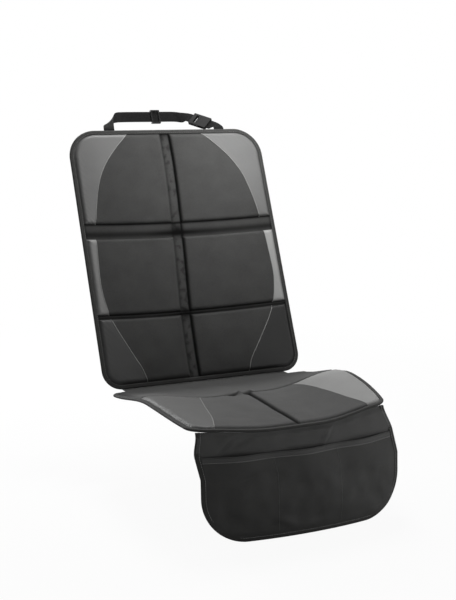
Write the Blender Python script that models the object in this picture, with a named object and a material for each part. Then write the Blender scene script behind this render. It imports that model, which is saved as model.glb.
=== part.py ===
"""Car seat protector mat: back panel, seat panel, front flap with a pocket, and head strap.

Metres, +Z up. X runs across the mat, -Y is the way a sitter faces. The origin is in the
crease, where the rear plane of the back panel meets the underside plane of the seat panel.
Panels are laid out flat in (x, s, n): x across, s along the panel from the crease, and
n out of its rear or under face. Each panel has a function that places such a point.
"""
import bpy
import bmesh
from math import ceil, cos, hypot, pi, radians, sin
from mathutils import Matrix, Vector
from mathutils.geometry import delaunay_2d_cdt

# Cloth, foam and gaps
CLOTH = 0.0010
TAPE = 0.0010
FOAM = 0.0062
FOAM_SLACK = 0.0012
GAP = 0.0004
EDGE_CLEARANCE = 0.0010

# Back panel
BACK_WIDTH = 0.470
BACK_HEIGHT = 0.582
BACK_RECLINE = radians(23.1)
BACK_TOP_RADIUS = 0.065
BACK_BOTTOM_RADIUS = 0.042
BACK_UPPER_CHANNEL = (0.336, 0.369)
BACK_LOWER_CHANNEL = (0.158, 0.166)

# Seat panel
SEAT_WIDTH = 0.464
SEAT_PITCH = radians(2.6)
SEAT_START = 0.030
SEAT_END = 0.462
SEAT_REAR_RADIUS = 0.020
SEAT_FRONT_RADIUS = 0.036
SEAT_CHANNEL = 0.180
SEAT_FRONT_ARC = 0.024
SEAT_FRONT_TAPER = 0.128
SEAT_FRONT_SKEW = -0.022
BOLSTER_START = 0.060
BOLSTER_RISE_LEFT = 0.0214
BOLSTER_RISE_RIGHT = 0.0340
BOLSTER_RAMP_END = 0.240
BOLSTER_FRONT_LOSS = 0.55
BOLSTER_COLUMNS = 4
BOLSTER_ROWS = 10

# Quilting
CENTRE_BAND = 0.021
CHANNEL_SLOPE = 0.012
EDGE_SLOPE = 0.0135
BINDING_FACE = 0.0095

# Front flap and pocket
FLAP_BOTTOM = -0.180
FLAP_TOP_WIDTH = 0.392
FLAP_WIDTH = 0.416
FLAP_RADIUS = 0.085
POCKET_MOUTH = -0.018
POCKET_HEM = 0.011
POCKET_COUNT = 3
POCKET_BULGE = 0.013
POCKET_BULGE_DEPTH = 0.78
FLAP_HEAD = 0.045
FLAP_LEAN = 0.05
FLAP_RETURN = 0.022
FLAP_PLUMB = -0.060
POCKET_ROWS = (-0.018, -0.029, FLAP_PLUMB, -0.090, -0.120, -0.148)

# Head strap
WEBBING_WIDTH = 0.025
WEBBING = 0.0014
STRAP_ROOT = 0.134
STRAP_DEPTH = 0.055
STRAP_LEVEL = 0.640
BUCKLE_LENGTH = 0.046
BUCKLE_WIDTH = 0.031
BUCKLE_THICKNESS = 0.0085
BUCKLE_WALL = 0.0018
BUCKLE_FLOOR = 0.006
BUCKLE_BAR = 0.009
BUCKLE_COLLAR = 0.005
BUCKLE_MOUTH = -0.002
BUCKLE_PRONG = 0.0045
BUCKLE_PRONG_CLEARANCE = 0.003
BUCKLE_GUIDE = 0.004
BUCKLE_LEAD = 0.009
SLIDER_LENGTH = 0.022
SLIDER_RAIL = 0.0032
SLIDER_BAR = 0.0030
SLIDER_FACE = 0.0018

# Colours, linear
DARK_CLOTH = (0.050, 0.050, 0.048)
INSET_CLOTH = (0.165, 0.165, 0.160)
SEAT_CLOTH = (0.075, 0.075, 0.072)
TAPE_CLOTH = (0.045, 0.045, 0.043)
BACKING_CLOTH = (0.030, 0.030, 0.030)
FOAM_GREY = (0.350, 0.350, 0.340)
FLAP_CLOTH = (0.040, 0.040, 0.038)
BLACK_WEB = (0.012, 0.012, 0.012)
BLACK_PLASTIC = (0.010, 0.010, 0.010)

# Levels through a quilted panel, from its rear face
BACKING_EDGE = TAPE + GAP
FACE_EDGE_TOP = BACKING_EDGE + CLOTH + GAP + CLOTH
BINDING_TOP = FACE_EDGE_TOP + GAP + TAPE
CHANNEL_TOP = CLOTH + GAP + CLOTH
PLATEAU = CLOTH + GAP + FOAM + GAP + CLOTH
EDGE_FLAT = BINDING_FACE + EDGE_CLEARANCE
SHEET_INSET = TAPE + EDGE_CLEARANCE
BAND_HALF = CENTRE_BAND / 2
SEAT_RIM = SEAT_WIDTH / 2 - EDGE_FLAT
RISE_COLUMNS = [BOLSTER_START + (SEAT_RIM - BOLSTER_START) * i / BOLSTER_COLUMNS
                for i in range(BOLSTER_COLUMNS + 1)]
RISE_ROWS = [SEAT_START + (SEAT_END - SEAT_START) * i / BOLSTER_ROWS
             for i in range(BOLSTER_ROWS + 1)]

# Levels through the flap, from the rear face of its binding
FLAP_SHEET = TAPE + GAP
POCKET_SHEET = FLAP_SHEET + CLOTH + GAP
FLAP_BINDING_TOP = POCKET_SHEET + CLOTH + GAP + TAPE
NECK_TOP = BACKING_EDGE + CLOTH

BACK_START = (NECK_TOP + GAP) / cos(BACK_RECLINE)
BACK_END = BACK_START + BACK_HEIGHT
ARC_STEPS = 5
SEAM_STEP = 0.032


def smooth(t):
    t = min(max(t, 0.0), 1.0)
    return t * t * (3.0 - 2.0 * t)


def place_back(x, s, n):
    up = Vector((0.0, sin(BACK_RECLINE), cos(BACK_RECLINE)))
    out = Vector((0.0, -cos(BACK_RECLINE), sin(BACK_RECLINE)))
    return Vector((x, 0.0, 0.0)) + up * s + out * n


def bolster_height(x, s):
    """How far the seat panel's sides rise above its middle."""
    side = BOLSTER_RISE_LEFT if x < 0 else BOLSTER_RISE_RIGHT
    reach = smooth((abs(x) - BOLSTER_START) / (SEAT_RIM - BOLSTER_START))
    ramp = smooth((s - SEAT_START) / (BOLSTER_RAMP_END - SEAT_START))
    front = smooth((s - SEAT_CHANNEL) / (SEAT_END - SEAT_CHANNEL))
    return side * reach * ramp * (1.0 - BOLSTER_FRONT_LOSS * front)


def facet(value, lines):
    """Number of the span between two lines that holds value, and the share within it."""
    value = min(max(value, lines[0]), lines[-1])
    span = 0
    while span < len(lines) - 2 and value > lines[span + 1]:
        span += 1
    return span, (value - lines[span]) / (lines[span + 1] - lines[span])


def seat_rise(x, s):
    """The sides' rise in flat facets, which every layer of the seat panel shares."""
    column, u = facet(abs(x), RISE_COLUMNS)
    row, v = facet(s, RISE_ROWS)
    sign = -1.0 if x < 0 else 1.0
    near, far = sign * RISE_COLUMNS[column], sign * RISE_COLUMNS[column + 1]
    low, high = RISE_ROWS[row], RISE_ROWS[row + 1]
    base = bolster_height(near, low)
    peak = bolster_height(far, high)
    if u >= v:
        side = bolster_height(far, low)
        return base + u * (side - base) + v * (peak - side)
    side = bolster_height(near, high)
    return base + v * (side - base) + u * (peak - side)


def seat_plan(x, s):
    """Bend the flat panel's front to its arc, narrow it and let it lie a little askew."""
    t = max(0.0, (s - SEAT_CHANNEL) / (SEAT_END - SEAT_CHANNEL)) ** 2
    across = x * (1.0 - SEAT_FRONT_TAPER * t) + SEAT_FRONT_SKEW * t
    along = s - SEAT_FRONT_ARC * t * (x / (SEAT_WIDTH / 2)) ** 2
    return across, along


def place_seat(x, s, n):
    across, along = seat_plan(x, s)
    ahead = Vector((0.0, -cos(SEAT_PITCH), sin(SEAT_PITCH)))
    up = Vector((0.0, sin(SEAT_PITCH), cos(SEAT_PITCH)))
    return Vector((across, 0.0, 0.0)) + ahead * along + up * (n + seat_rise(x, s))


class Panel:
    """A rounded rectangle in (x, s) with quilting channels, and where it lies.

    The seat panel also has rows and columns along which its sides bend up.
    """

    def __init__(self, width, start, end, low_radius, high_radius, channels, band_start, place,
                 rise_columns=(), rise_rows=()):
        self.half = width / 2
        self.start = start
        self.end = end
        self.low_radius = low_radius
        self.high_radius = high_radius
        self.channels = channels
        self.band_start = band_start
        self.place = place
        self.rise_columns = rise_columns
        self.rise_rows = rise_rows

    def rise_lines(self):
        """Lines across and along the panel that follow the rise of its sides."""
        lines = [[(-self.half, s), (self.half, s)] for s in self.rise_rows]
        for x in self.rise_columns:
            lines += [[(sign * x, self.start), (sign * x, self.end)] for sign in (-1, 1)]
        for low, high in zip(self.rise_rows, self.rise_rows[1:]):
            for near, far in zip(self.rise_columns, self.rise_columns[1:]):
                lines += [[(sign * near, low), (sign * far, high)] for sign in (-1, 1)]
        return lines

    def corner(self, high, inset):
        """Points of one rounded corner on +X, by rising s."""
        radius = self.high_radius if high else self.low_radius
        level = self.end - radius if high else self.start + radius
        turn = (0.0, pi / 2) if high else (-pi / 2, 0.0)
        for step in range(ARC_STEPS + 1):
            angle = turn[0] + (turn[1] - turn[0]) * step / ARC_STEPS
            yield (self.half - radius + (radius - inset) * cos(angle),
                   level + (radius - inset) * sin(angle))

    def side(self, inset):
        return list(self.corner(False, inset)) + list(self.corner(True, inset))

    def half_at(self, s, inset):
        """Half-width of the outline, moved in by inset, at station s."""
        points = self.side(inset)
        s = min(max(s, points[0][1]), points[-1][1])
        for (x0, s0), (x1, s1) in zip(points, points[1:]):
            if s0 <= s <= s1 and s1 > s0:
                return x0 + (x1 - x0) * (s - s0) / (s1 - s0)
        return points[-1][0]

    def inside(self, x, s):
        """Distance from the outline, positive inside."""
        high = s > (self.start + self.end) / 2
        radius = self.high_radius if high else self.low_radius
        dx = abs(x) - (self.half - radius)
        ds = s - (self.end - radius) if high else (self.start + radius) - s
        if dx > 0 and ds > 0:
            return radius - hypot(dx, ds)
        return min(self.half - abs(x), self.end - s, s - self.start)

    def face_top(self, x, s):
        """Level of the quilted face above the panel's rear plane."""
        edge = self.inside(x, s)
        if edge <= EDGE_FLAT + 1e-6:
            return FACE_EDGE_TOP
        level = FACE_EDGE_TOP + (PLATEAU - FACE_EDGE_TOP) * smooth((edge - EDGE_FLAT) / EDGE_SLOPE)
        away = [max(low - s, s - high) for low, high in self.channels]
        if s > self.band_start:
            away.append(abs(x) - BAND_HALF)
        nearest = max(0.0, min(away))
        drop = sin(min(1.0, nearest / CHANNEL_SLOPE) * pi / 2)
        ramp = min(1.0, (edge - EDGE_FLAT) / (EDGE_SLOPE / 2))
        floor = FACE_EDGE_TOP + (CHANNEL_TOP - FACE_EDGE_TOP) * ramp
        return max(floor, min(level, CHANNEL_TOP + (PLATEAU - CHANNEL_TOP) * drop))

    def foam_top(self, x, s):
        """Level of the foam: close under the cells' tops, slack on their slopes."""
        face = self.face_top(x, s)
        share = (face - CHANNEL_TOP) / (PLATEAU - CHANNEL_TOP)
        return face - CLOTH - GAP - FOAM_SLACK * (1.0 - share)

    def backing_bottom(self, x, s):
        return BACKING_EDGE if self.inside(x, s) <= EDGE_FLAT + CLOTH else 0.0


BACK = Panel(BACK_WIDTH, BACK_START, BACK_END, BACK_BOTTOM_RADIUS, BACK_TOP_RADIUS,
             (BACK_LOWER_CHANNEL, BACK_UPPER_CHANNEL), -1.0, place_back)
SEAT = Panel(SEAT_WIDTH, SEAT_START, SEAT_END, SEAT_REAR_RADIUS, SEAT_FRONT_RADIUS,
             ((SEAT_CHANNEL, SEAT_CHANNEL),), SEAT_CHANNEL, place_seat,
             RISE_COLUMNS, RISE_ROWS)


def curve_through(points, s):
    """Smooth value at s through (s, value) pairs, by cubic steps with averaged slopes."""
    def slope(i):
        low = points[max(i - 1, 0)]
        high = points[min(i + 1, len(points) - 1)]
        return (high[1] - low[1]) / (high[0] - low[0])

    s = min(max(s, points[0][0]), points[-1][0])
    for i in range(len(points) - 1):
        (s0, v0), (s1, v1) = points[i], points[i + 1]
        if s <= s1:
            break
    run = s1 - s0
    t = (s - s0) / run
    return ((2 * t ** 3 - 3 * t ** 2 + 1) * v0 + (t ** 3 - 2 * t ** 2 + t) * run * slope(i)
            + (3 * t ** 2 - 2 * t ** 3) * v1 + (t ** 3 - t ** 2) * run * slope(i + 1))


def back_seam(s):
    """Half-width of the back panel's middle field, as shares of the panel's height."""
    shape = ((0.00, 0.120), (0.14, 0.150), (0.26, 0.193), (0.37, 0.206), (0.46, 0.206),
             (0.63, 0.198), (0.79, 0.175), (0.92, 0.125), (1.00, 0.083))
    return curve_through(shape, (s - BACK_START) / BACK_HEIGHT) * BACK_WIDTH / 0.470


def seat_seam(s):
    """Half-width of the seat panel's middle field in front of its cross channel."""
    share = (s - SEAT_CHANNEL) / (SEAT_END - SEAT_CHANNEL)
    shape = ((0.00, 0.104), (0.16, 0.122), (0.40, 0.142), (0.70, 0.161), (1.00, 0.176))
    return curve_through(shape, share) * SEAT_WIDTH / 0.464


def material(name, colour, roughness):
    made = bpy.data.materials.get(name)
    if made is None:
        made = bpy.data.materials.new(name)
        made.use_nodes = True
        shader = made.node_tree.nodes["Principled BSDF"]
        shader.inputs["Base Color"].default_value = (*colour, 1.0)
        shader.inputs["Roughness"].default_value = roughness
        shader.inputs["Metallic"].default_value = 0.0
    return made


def add_object(name, points, faces, look):
    mesh = bpy.data.meshes.new(name)
    mesh.from_pydata([tuple(p) for p in points], [], faces)
    outward = bmesh.new()
    outward.from_mesh(mesh)
    bmesh.ops.recalc_face_normals(outward, faces=outward.faces)
    outward.to_mesh(mesh)
    outward.free()
    made = bpy.data.objects.new(name, mesh)
    bpy.context.scene.collection.objects.link(made)
    mesh.materials.append(material(*look))
    mesh.shade_smooth()
    mesh.set_sharp_from_angle(angle=radians(40))
    return made


def swept(name, stations, look, closed=False):
    """Closed solid through rings of points; open sweeps get flat ends."""
    sides = len(stations[0])
    points = [p for ring in stations for p in ring]
    faces = []
    spans = len(stations) if closed else len(stations) - 1
    for i in range(spans):
        low = i * sides
        high = ((i + 1) % len(stations)) * sides
        for j in range(sides):
            k = (j + 1) % sides
            faces += [(low + j, low + k, high + k), (low + j, high + k, high + j)]
    if not closed:
        faces.append(tuple(reversed(range(sides))))
        last = (len(stations) - 1) * sides
        faces.append(tuple(range(last, last + sides)))
    return add_object(name, points, faces, look)


EDGE_LINES = (EDGE_FLAT, EDGE_FLAT + EDGE_SLOPE / 2, EDGE_FLAT + EDGE_SLOPE)
SLOPE_LINES = (0.0, CHANNEL_SLOPE / 2, CHANNEL_SLOPE)
FOAM_RIM = EDGE_LINES[1]
FOAM_GUTTER = SLOPE_LINES[1]


def even(low, high, step):
    """Evenly spaced values from low to high, no further apart than step."""
    count = max(1, ceil((high - low) / step - 1e-9))
    return [low + (high - low) * i / count for i in range(count + 1)]


def within(point, polygon):
    x, y = point
    inside = False
    for (x0, y0), (x1, y1) in zip(polygon, polygon[1:] + polygon[:1]):
        if (y0 > y) != (y1 > y) and x < x0 + (x1 - x0) * (y - y0) / (y1 - y0):
            inside = not inside
    return inside


def triangulate(boundary, lines):
    """Triangles of a flat outline, with edges along every line that crosses it."""
    points = []
    edges = []
    for chain in [boundary + boundary[:1]] + lines:
        first = len(points)
        points += chain
        edges += [(first + i, first + i + 1) for i in range(len(chain) - 1)]
    found = delaunay_2d_cdt([Vector(p) for p in points], edges, [], 0, 1e-5)
    flat, faces = found[0], found[2]
    kept = []
    for face in faces:
        middle = sum((flat[i] for i in face), Vector((0.0, 0.0))) / len(face)
        if within(middle, boundary):
            kept.append(tuple(face))
    used = sorted({i for face in kept for i in face})
    place = {old: new for new, old in enumerate(used)}
    return [flat[i] for i in used], [tuple(place[i] for i in face) for face in kept]


def layer(name, panel, boundary, lines, top, bottom, look):
    """Closed solid over a flat outline, between two levels of a panel."""
    flat, faces = triangulate(boundary, lines)
    count = len(flat)
    points = [panel.place(x, s, top(x, s)) for x, s in flat]
    points += [panel.place(x, s, bottom(x, s)) for x, s in flat]
    sides = {(a, b) for face in faces for a, b in zip(face, face[1:] + face[:1])}
    walls = [(a, b) for a, b in sides if (b, a) not in sides]
    solid = list(faces) + [tuple(i + count for i in reversed(face)) for face in faces]
    for a, b in sorted(walls):
        solid += [(b, a, a + count), (b, a + count, b + count)]
    return add_object(name, points, solid, look)


def loop_line(panel, inset):
    """The panel's outline moved in by inset, as one closed line."""
    right = panel.side(inset)
    closed = right + [(-x, s) for x, s in reversed(right)]
    return closed + closed[:1]


def quilt_lines(panel):
    """Fold lines of the quilted face: round the rim and beside each channel."""
    lines = [loop_line(panel, inset) for inset in EDGE_LINES]
    lines += mitre_lines(panel) + panel.rise_lines()
    for low, high in panel.channels:
        for offset in SLOPE_LINES:
            for s in (low - offset, high + offset):
                lines.append([(-panel.half, s), (panel.half, s)])
    for offset in SLOPE_LINES:
        for sign in (-1, 1):
            x = sign * (BAND_HALF + offset)
            lines.append([(x, max(panel.band_start, panel.start)), (x, panel.end)])
    return lines


def mitre_lines(panel):
    """Fold lines at 45 degrees or so, where the slopes of two channels or a rim meet."""
    lines = []
    run = CHANNEL_SLOPE
    rim = EDGE_LINES[0]
    rise = EDGE_SLOPE
    for sign in (-1, 1):
        band = BAND_HALF * sign
        beside = (BAND_HALF + run) * sign
        lines.append([(band, panel.end - rim), (beside, panel.end - rim - rise)])
        if panel.band_start < panel.start:
            lines.append([(band, panel.start + rim), (beside, panel.start + rim + rise)])
        for low, high in panel.channels:
            for s, step in ((low, -run), (high, run)):
                lines.append([(sign * (panel.half - rim), s),
                              (sign * (panel.half - rim - rise), s + step)])
                if s + step > panel.band_start:
                    lines.append([(band, s), (beside, s + step)])
    return lines


def field_outline(panel, seam, low, high):
    """Outline of a cell's middle field, from seam to seam."""
    right = [(seam(s) - GAP / 2, s) for s in even(low, high, SEAM_STEP)]
    return right + [(-x, s) for x, s in reversed(right)]


def inset_outline(panel, seam, low, high, sign):
    """Outline of an inset, from its seam to the panel's rim."""
    inner = [(seam(s) + GAP / 2, s) for s in even(low, high, SEAM_STEP)]
    rim = [(panel.half_at(s, SHEET_INSET), s) for s in (low, high)]
    arcs = [(x, s) for x, s in panel.side(SHEET_INSET) if low < s < high]
    outline = inner + [rim[1]] + list(reversed(arcs)) + [rim[0]]
    return [(sign * x, s) for x, s in outline]


def pad_outline(panel, low, high, left, right):
    """Outline of a foam pad: the rim's offset line cut to a window of the panel."""
    rows = [low] + [s for _, s in panel.side(FOAM_RIM) if low < s < high] + [high]
    reach = [panel.half_at(s, FOAM_RIM) for s in rows]
    far = [(min(x, right), s) for x, s in zip(reach, rows)]
    near = [(max(-x, left), s) for x, s in zip(reach, rows)]
    return far + list(reversed(near))


def face_cloth(name, panel, outline, look):
    def under(x, s):
        return panel.face_top(x, s) - CLOTH

    layer(name, panel, outline, quilt_lines(panel), panel.face_top, under, look)


def foam_pad(name, panel, outline):
    """Foam under one cell."""
    def bottom(x, s):
        return CLOTH + GAP

    layer(name, panel, outline, quilt_lines(panel), panel.foam_top, bottom,
          ("foam", FOAM_GREY, 0.9))


def backing(name, panel):
    """Backing cloth, which steps down inside its tape's rear leg and lies flush with it."""
    def top(x, s):
        return panel.backing_bottom(x, s) + CLOTH

    steps = (EDGE_FLAT, EDGE_FLAT + 3 * CLOTH)
    lines = [loop_line(panel, inset) for inset in steps] + panel.rise_lines()
    layer(name, panel, loop_line(panel, SHEET_INSET)[:-1], lines, top, panel.backing_bottom,
          ("backing_cloth", BACKING_CLOTH, 0.85))


def binding_section(top):
    """Folded tape round an edge, as (inset, level) points."""
    reach = BINDING_FACE
    return ((reach, top), (0.0, top), (0.0, 0.0), (reach, 0.0),
            (reach, TAPE), (TAPE, TAPE), (TAPE, top - TAPE), (reach, top - TAPE))


def binding_loop(panel, inset):
    """The outline moved in by inset, with a station wherever the panel's level bends."""
    low = panel.start + panel.low_radius
    high = panel.end - panel.high_radius
    right = list(panel.corner(False, inset))
    right += [(panel.half - inset, s) for s in panel.rise_rows if low < s < high]
    right += list(panel.corner(True, inset))
    columns = [x for x in (BOLSTER_START / 2, *panel.rise_columns) if panel.rise_columns]
    far = [(x, panel.end - inset) for x in reversed(columns)
           if x < panel.half - panel.high_radius]
    near = [(x, panel.start + inset) for x in reversed(columns)
            if x < panel.half - panel.low_radius]
    half = right + far
    other = [(-x, s) for x, s in reversed(half)]
    under = [(-x, s) for x, s in near]
    return half + other + under + [(-x, s) for x, s in reversed(under)]


def binding(name, panel):
    section = binding_section(BINDING_TOP)
    loops = [binding_loop(panel, inset) for inset, _ in section]
    rings = []
    for i in range(len(loops[0])):
        rings.append([panel.place(*loop[i], level) for loop, (_, level) in zip(loops, section)])
    swept(name, rings, ("binding_tape", TAPE_CLOTH, 0.75), closed=True)


def channel_tape(name, low, high):
    """Strip of dark cloth along the floor of one of the back panel's cross channels."""
    outline = []
    for s, sign in ((low, -1), (low, 1), (high, 1), (high, -1)):
        outline.append((sign * BACK.half_at(s, SHEET_INSET), s))
    face_cloth(name, BACK, outline, ("dark_cloth", DARK_CLOTH, 0.8))


def build_back():
    low_channel, high_channel = BACK_LOWER_CHANNEL, BACK_UPPER_CHANNEL
    cells = (("lower", BACK.start, low_channel[0]),
             ("middle", low_channel[1], high_channel[0]),
             ("top", high_channel[1], BACK.end))
    near = BAND_HALF + FOAM_GUTTER
    for name, low, high in cells:
        first = low + SHEET_INSET if low == BACK.start else low + GAP / 2
        last = high - SHEET_INSET if high == BACK.end else high - GAP / 2
        face_cloth("back_face_" + name, BACK, field_outline(BACK, back_seam, first, last),
                   ("dark_cloth", DARK_CLOTH, 0.8))
        for side, sign in (("left", -1), ("right", 1)):
            face_cloth("back_inset_" + name + "_" + side, BACK,
                       inset_outline(BACK, back_seam, first, last, sign),
                       ("inset_cloth", INSET_CLOTH, 0.62))
        first = low + FOAM_RIM if low == BACK.start else low + FOAM_GUTTER
        last = high - FOAM_RIM if high == BACK.end else high - FOAM_GUTTER
        foam_pad("back_foam_" + name + "_left", BACK, pad_outline(BACK, first, last, -1.0, -near))
        foam_pad("back_foam_" + name + "_right", BACK, pad_outline(BACK, first, last, near, 1.0))
    channel_tape("back_channel_lower", *low_channel)
    channel_tape("back_channel_upper", *high_channel)
    backing("back_backing", BACK)
    binding("back_binding", BACK)


def build_seat():
    look = ("seat_cloth", SEAT_CLOTH, 0.8)
    first = SEAT_CHANNEL + GAP / 2
    last = SEAT.end - SHEET_INSET
    rear_last = SEAT_CHANNEL - GAP / 2
    rim = [(x, s) for x, s in SEAT.side(SHEET_INSET) if s < rear_last]
    rim.append((SEAT.half - SHEET_INSET, rear_last))
    face_cloth("seat_face_rear", SEAT, rim + [(-x, s) for x, s in reversed(rim)], look)
    face_cloth("seat_face_front", SEAT, field_outline(SEAT, seat_seam, first, last), look)
    for side, sign in (("left", -1), ("right", 1)):
        face_cloth("seat_inset_" + side, SEAT, inset_outline(SEAT, seat_seam, first, last, sign),
                   ("inset_cloth", INSET_CLOTH, 0.62))
    near = BAND_HALF + FOAM_GUTTER
    first = SEAT_CHANNEL + FOAM_GUTTER
    last = SEAT.end - FOAM_RIM
    foam_pad("seat_foam_rear", SEAT,
             pad_outline(SEAT, SEAT.start + FOAM_RIM, SEAT_CHANNEL - FOAM_GUTTER, -1.0, 1.0))
    foam_pad("seat_foam_front_left", SEAT, pad_outline(SEAT, first, last, -1.0, -near))
    foam_pad("seat_foam_front_right", SEAT, pad_outline(SEAT, first, last, near, 1.0))
    backing("seat_backing", SEAT)
    binding("seat_binding", SEAT)


def build_neck():
    """Cloth strip that joins the back panel's lower edge to the seat panel's rear edge."""
    reach = BACK_WIDTH / 2 - BACK_BOTTOM_RADIUS
    rear, front = -BINDING_TOP, SEAT_START - GAP

    def top(x, s):
        return NECK_TOP

    def bottom(x, s):
        return BACKING_EDGE

    layer("crease_cloth", SEAT, [(reach, rear), (reach, front), (-reach, front), (-reach, rear)],
          [], top, bottom, ("dark_cloth", DARK_CLOTH, 0.8))


def flap_front(x):
    """How far forward the flap hangs at x, from its middle: along the seat's front edge."""
    return place_seat(x / (1.0 - SEAT_FRONT_TAPER), SEAT_END, 0.0).y


def seat_under(x, y):
    """Height of the seat panel's underside, at x from its middle and a depth y."""
    s = SEAT_END
    for _ in range(8):
        t = ((s - SEAT_CHANNEL) / (SEAT_END - SEAT_CHANNEL)) ** 2
        flat = x / (1.0 - SEAT_FRONT_TAPER * t)
        s = SEAT_FRONT_ARC * t * (flat / (SEAT_WIDTH / 2)) ** 2 - y / cos(SEAT_PITCH)
    return place_seat(flat, s, 0.0).z


def flap_top(x):
    front = flap_front(x)
    return min(seat_under(x, front), seat_under(x, front + FLAP_BINDING_TOP)) - EDGE_CLEARANCE


def place_flap(x, level, n):
    """Place a flap point; above the pocket's mouth, level is stretched to the flap's top.

    The flap starts askew with the seat panel, swings back as it hangs, and leans forward.
    """
    hang = POCKET_MOUTH + FLAP_HEAD - level
    swing = min(1.0, hang / (POCKET_MOUTH + FLAP_HEAD - FLAP_PLUMB))
    across = x + SEAT_FRONT_SKEW + FLAP_RETURN * swing
    z = level
    if level > POCKET_MOUTH:
        z = POCKET_MOUTH + (flap_top(x) - POCKET_MOUTH) * (level - POCKET_MOUTH) / FLAP_HEAD
    return Vector((across, flap_front(x) + FLAP_BINDING_TOP - FLAP_LEAN * hang - n, z))


class Flap:
    """The flap's outline in (x, level), wider below its head and round at the bottom."""

    place = staticmethod(place_flap)

    def side(self, inset):
        """Points of the outline on +X, by rising level."""
        centre = FLAP_BOTTOM + FLAP_RADIUS
        points = []
        for step in range(ARC_STEPS + 2):
            turn = -pi / 2 + pi / 2 * step / (ARC_STEPS + 1)
            points.append((FLAP_WIDTH / 2 - FLAP_RADIUS + (FLAP_RADIUS - inset) * cos(turn),
                           centre + (FLAP_RADIUS - inset) * sin(turn)))
        points += [(FLAP_WIDTH / 2 - inset, z) for z in POCKET_ROWS[2::-1]]
        for share in (1 / 3, 2 / 3, 1.0):
            narrow = (FLAP_WIDTH - FLAP_TOP_WIDTH) / 2 * smooth(share)
            points.append((FLAP_WIDTH / 2 - narrow - inset, POCKET_MOUTH + FLAP_HEAD * share))
        return points

    def outline(self, inset, top):
        right = [(x, level) for x, level in self.side(inset) if level < top + 1e-6]
        return right + [(-x, level) for x, level in reversed(right)]


FLAP = Flap()


def pocket_bulge(x, z):
    """How far the pocket cloth stands off, nil at the dividers, the sides and the bottom."""
    inner = FLAP_WIDTH / 2 - EDGE_FLAT - CLOTH
    local = min(1.0, abs(x) / inner) * POCKET_COUNT
    cell = (local + 1.0) % 2.0 - 1.0
    across = cos(cell * pi / 2) ** 2
    depth = (POCKET_MOUTH - z) / (POCKET_MOUTH - FLAP_BOTTOM) / POCKET_BULGE_DEPTH
    return POCKET_BULGE * across * (1.0 - smooth(depth))


def flap_columns(count):
    """Upright lines, with one on every divider of the pocket."""
    inner = FLAP_WIDTH / 2 - EDGE_FLAT - CLOTH
    return [inner * (2.0 * i / count - 1.0) for i in range(count + 1)]


def build_flap():
    look = ("flap_cloth", FLAP_CLOTH, 0.8)
    top = POCKET_MOUTH + FLAP_HEAD
    hem_low = POCKET_MOUTH - POCKET_HEM

    def sheet(x, z):
        return FLAP_SHEET

    def pocket(x, z):
        return POCKET_SHEET + (pocket_bulge(x, z) if z <= POCKET_MOUTH + GAP else 0.0)

    def hem(x, z):
        return pocket(x, z) + CLOTH + GAP

    def add(name, outline, columns, rows, level):
        lines = [[(x, FLAP_BOTTOM), (x, top)] for x in flap_columns(columns)]
        lines += [[(-FLAP_WIDTH, z), (FLAP_WIDTH, z)] for z in rows]

        def outer(x, z):
            return level(x, z) + CLOTH

        layer(name, FLAP, outline, lines, outer, level, look)

    wide = POCKET_COUNT * 4
    fine = POCKET_COUNT * 8
    add("flap_sheet", FLAP.outline(SHEET_INSET, top), wide, (POCKET_MOUTH, FLAP_PLUMB), sheet)
    add("pocket_sheet", FLAP.outline(SHEET_INSET, POCKET_MOUTH), fine, POCKET_ROWS, pocket)
    reach = FLAP_WIDTH / 2 - BINDING_FACE - EDGE_CLEARANCE
    corners = [(reach, hem_low), (reach, POCKET_MOUTH), (-reach, POCKET_MOUTH), (-reach, hem_low)]
    add("pocket_hem", corners, fine, (), hem)
    section = binding_section(FLAP_BINDING_TOP)
    sides = [FLAP.side(inset) for inset, _ in section]
    bottom = [x for x in flap_columns(wide) if abs(x) < FLAP_WIDTH / 2 - FLAP_RADIUS]
    rings = []
    for i in range(len(sides[0]) - 1, -1, -1):
        rings.append([place_flap(*side[i], n) for side, (_, n) in zip(sides, section)])
    for x in reversed(bottom):
        rings.append([place_flap(x, FLAP_BOTTOM + inset, n) for inset, n in section])
    for i in range(len(sides[0])):
        rings.append([place_flap(-side[i][0], side[i][1], n)
                      for side, (_, n) in zip(sides, section)])
    swept("flap_binding", rings, ("binding_tape", TAPE_CLOTH, 0.75))


def band(name, path, width, thickness, look):
    """Flat webbing through (centre, width direction) stations."""
    centres = [p for p, _ in path]
    rings = []
    for i, (centre, across) in enumerate(path):
        ahead = centres[min(i + 1, len(path) - 1)] - centres[max(i - 1, 0)]
        side = across.normalized()
        out = ahead.cross(side).normalized()
        half = side * (width / 2)
        rise = out * (thickness / 2)
        rings.append([centre - half - rise, centre + half - rise,
                      centre + half + rise, centre - half + rise])
    swept(name, rings, look)


def back_direction(x, s, n):
    return place_back(x, s, n) - place_back(0.0, 0.0, 0.0)


def box_mesh(name, parts, look):
    """One solid from overlapping boxes, each (low corner, high corner), in a local frame."""
    first = None
    for low, high in parts:
        size = [b - a for a, b in zip(low, high)]
        centre = [(a + b) / 2 for a, b in zip(low, high)]
        bpy.ops.mesh.primitive_cube_add(size=1.0, location=centre)
        cube = bpy.context.object
        cube.scale = size
        bpy.ops.object.transform_apply(location=True, rotation=True, scale=True)
        if first is None:
            first = cube
            continue
        join = first.modifiers.new("join", "BOOLEAN")
        join.operation = "UNION"
        join.object = cube
        bpy.context.view_layer.objects.active = first
        bpy.ops.object.modifier_apply(modifier=join.name)
        bpy.data.objects.remove(cube)
    first.name = name
    first.data.materials.append(material(*look))
    return first


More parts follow.
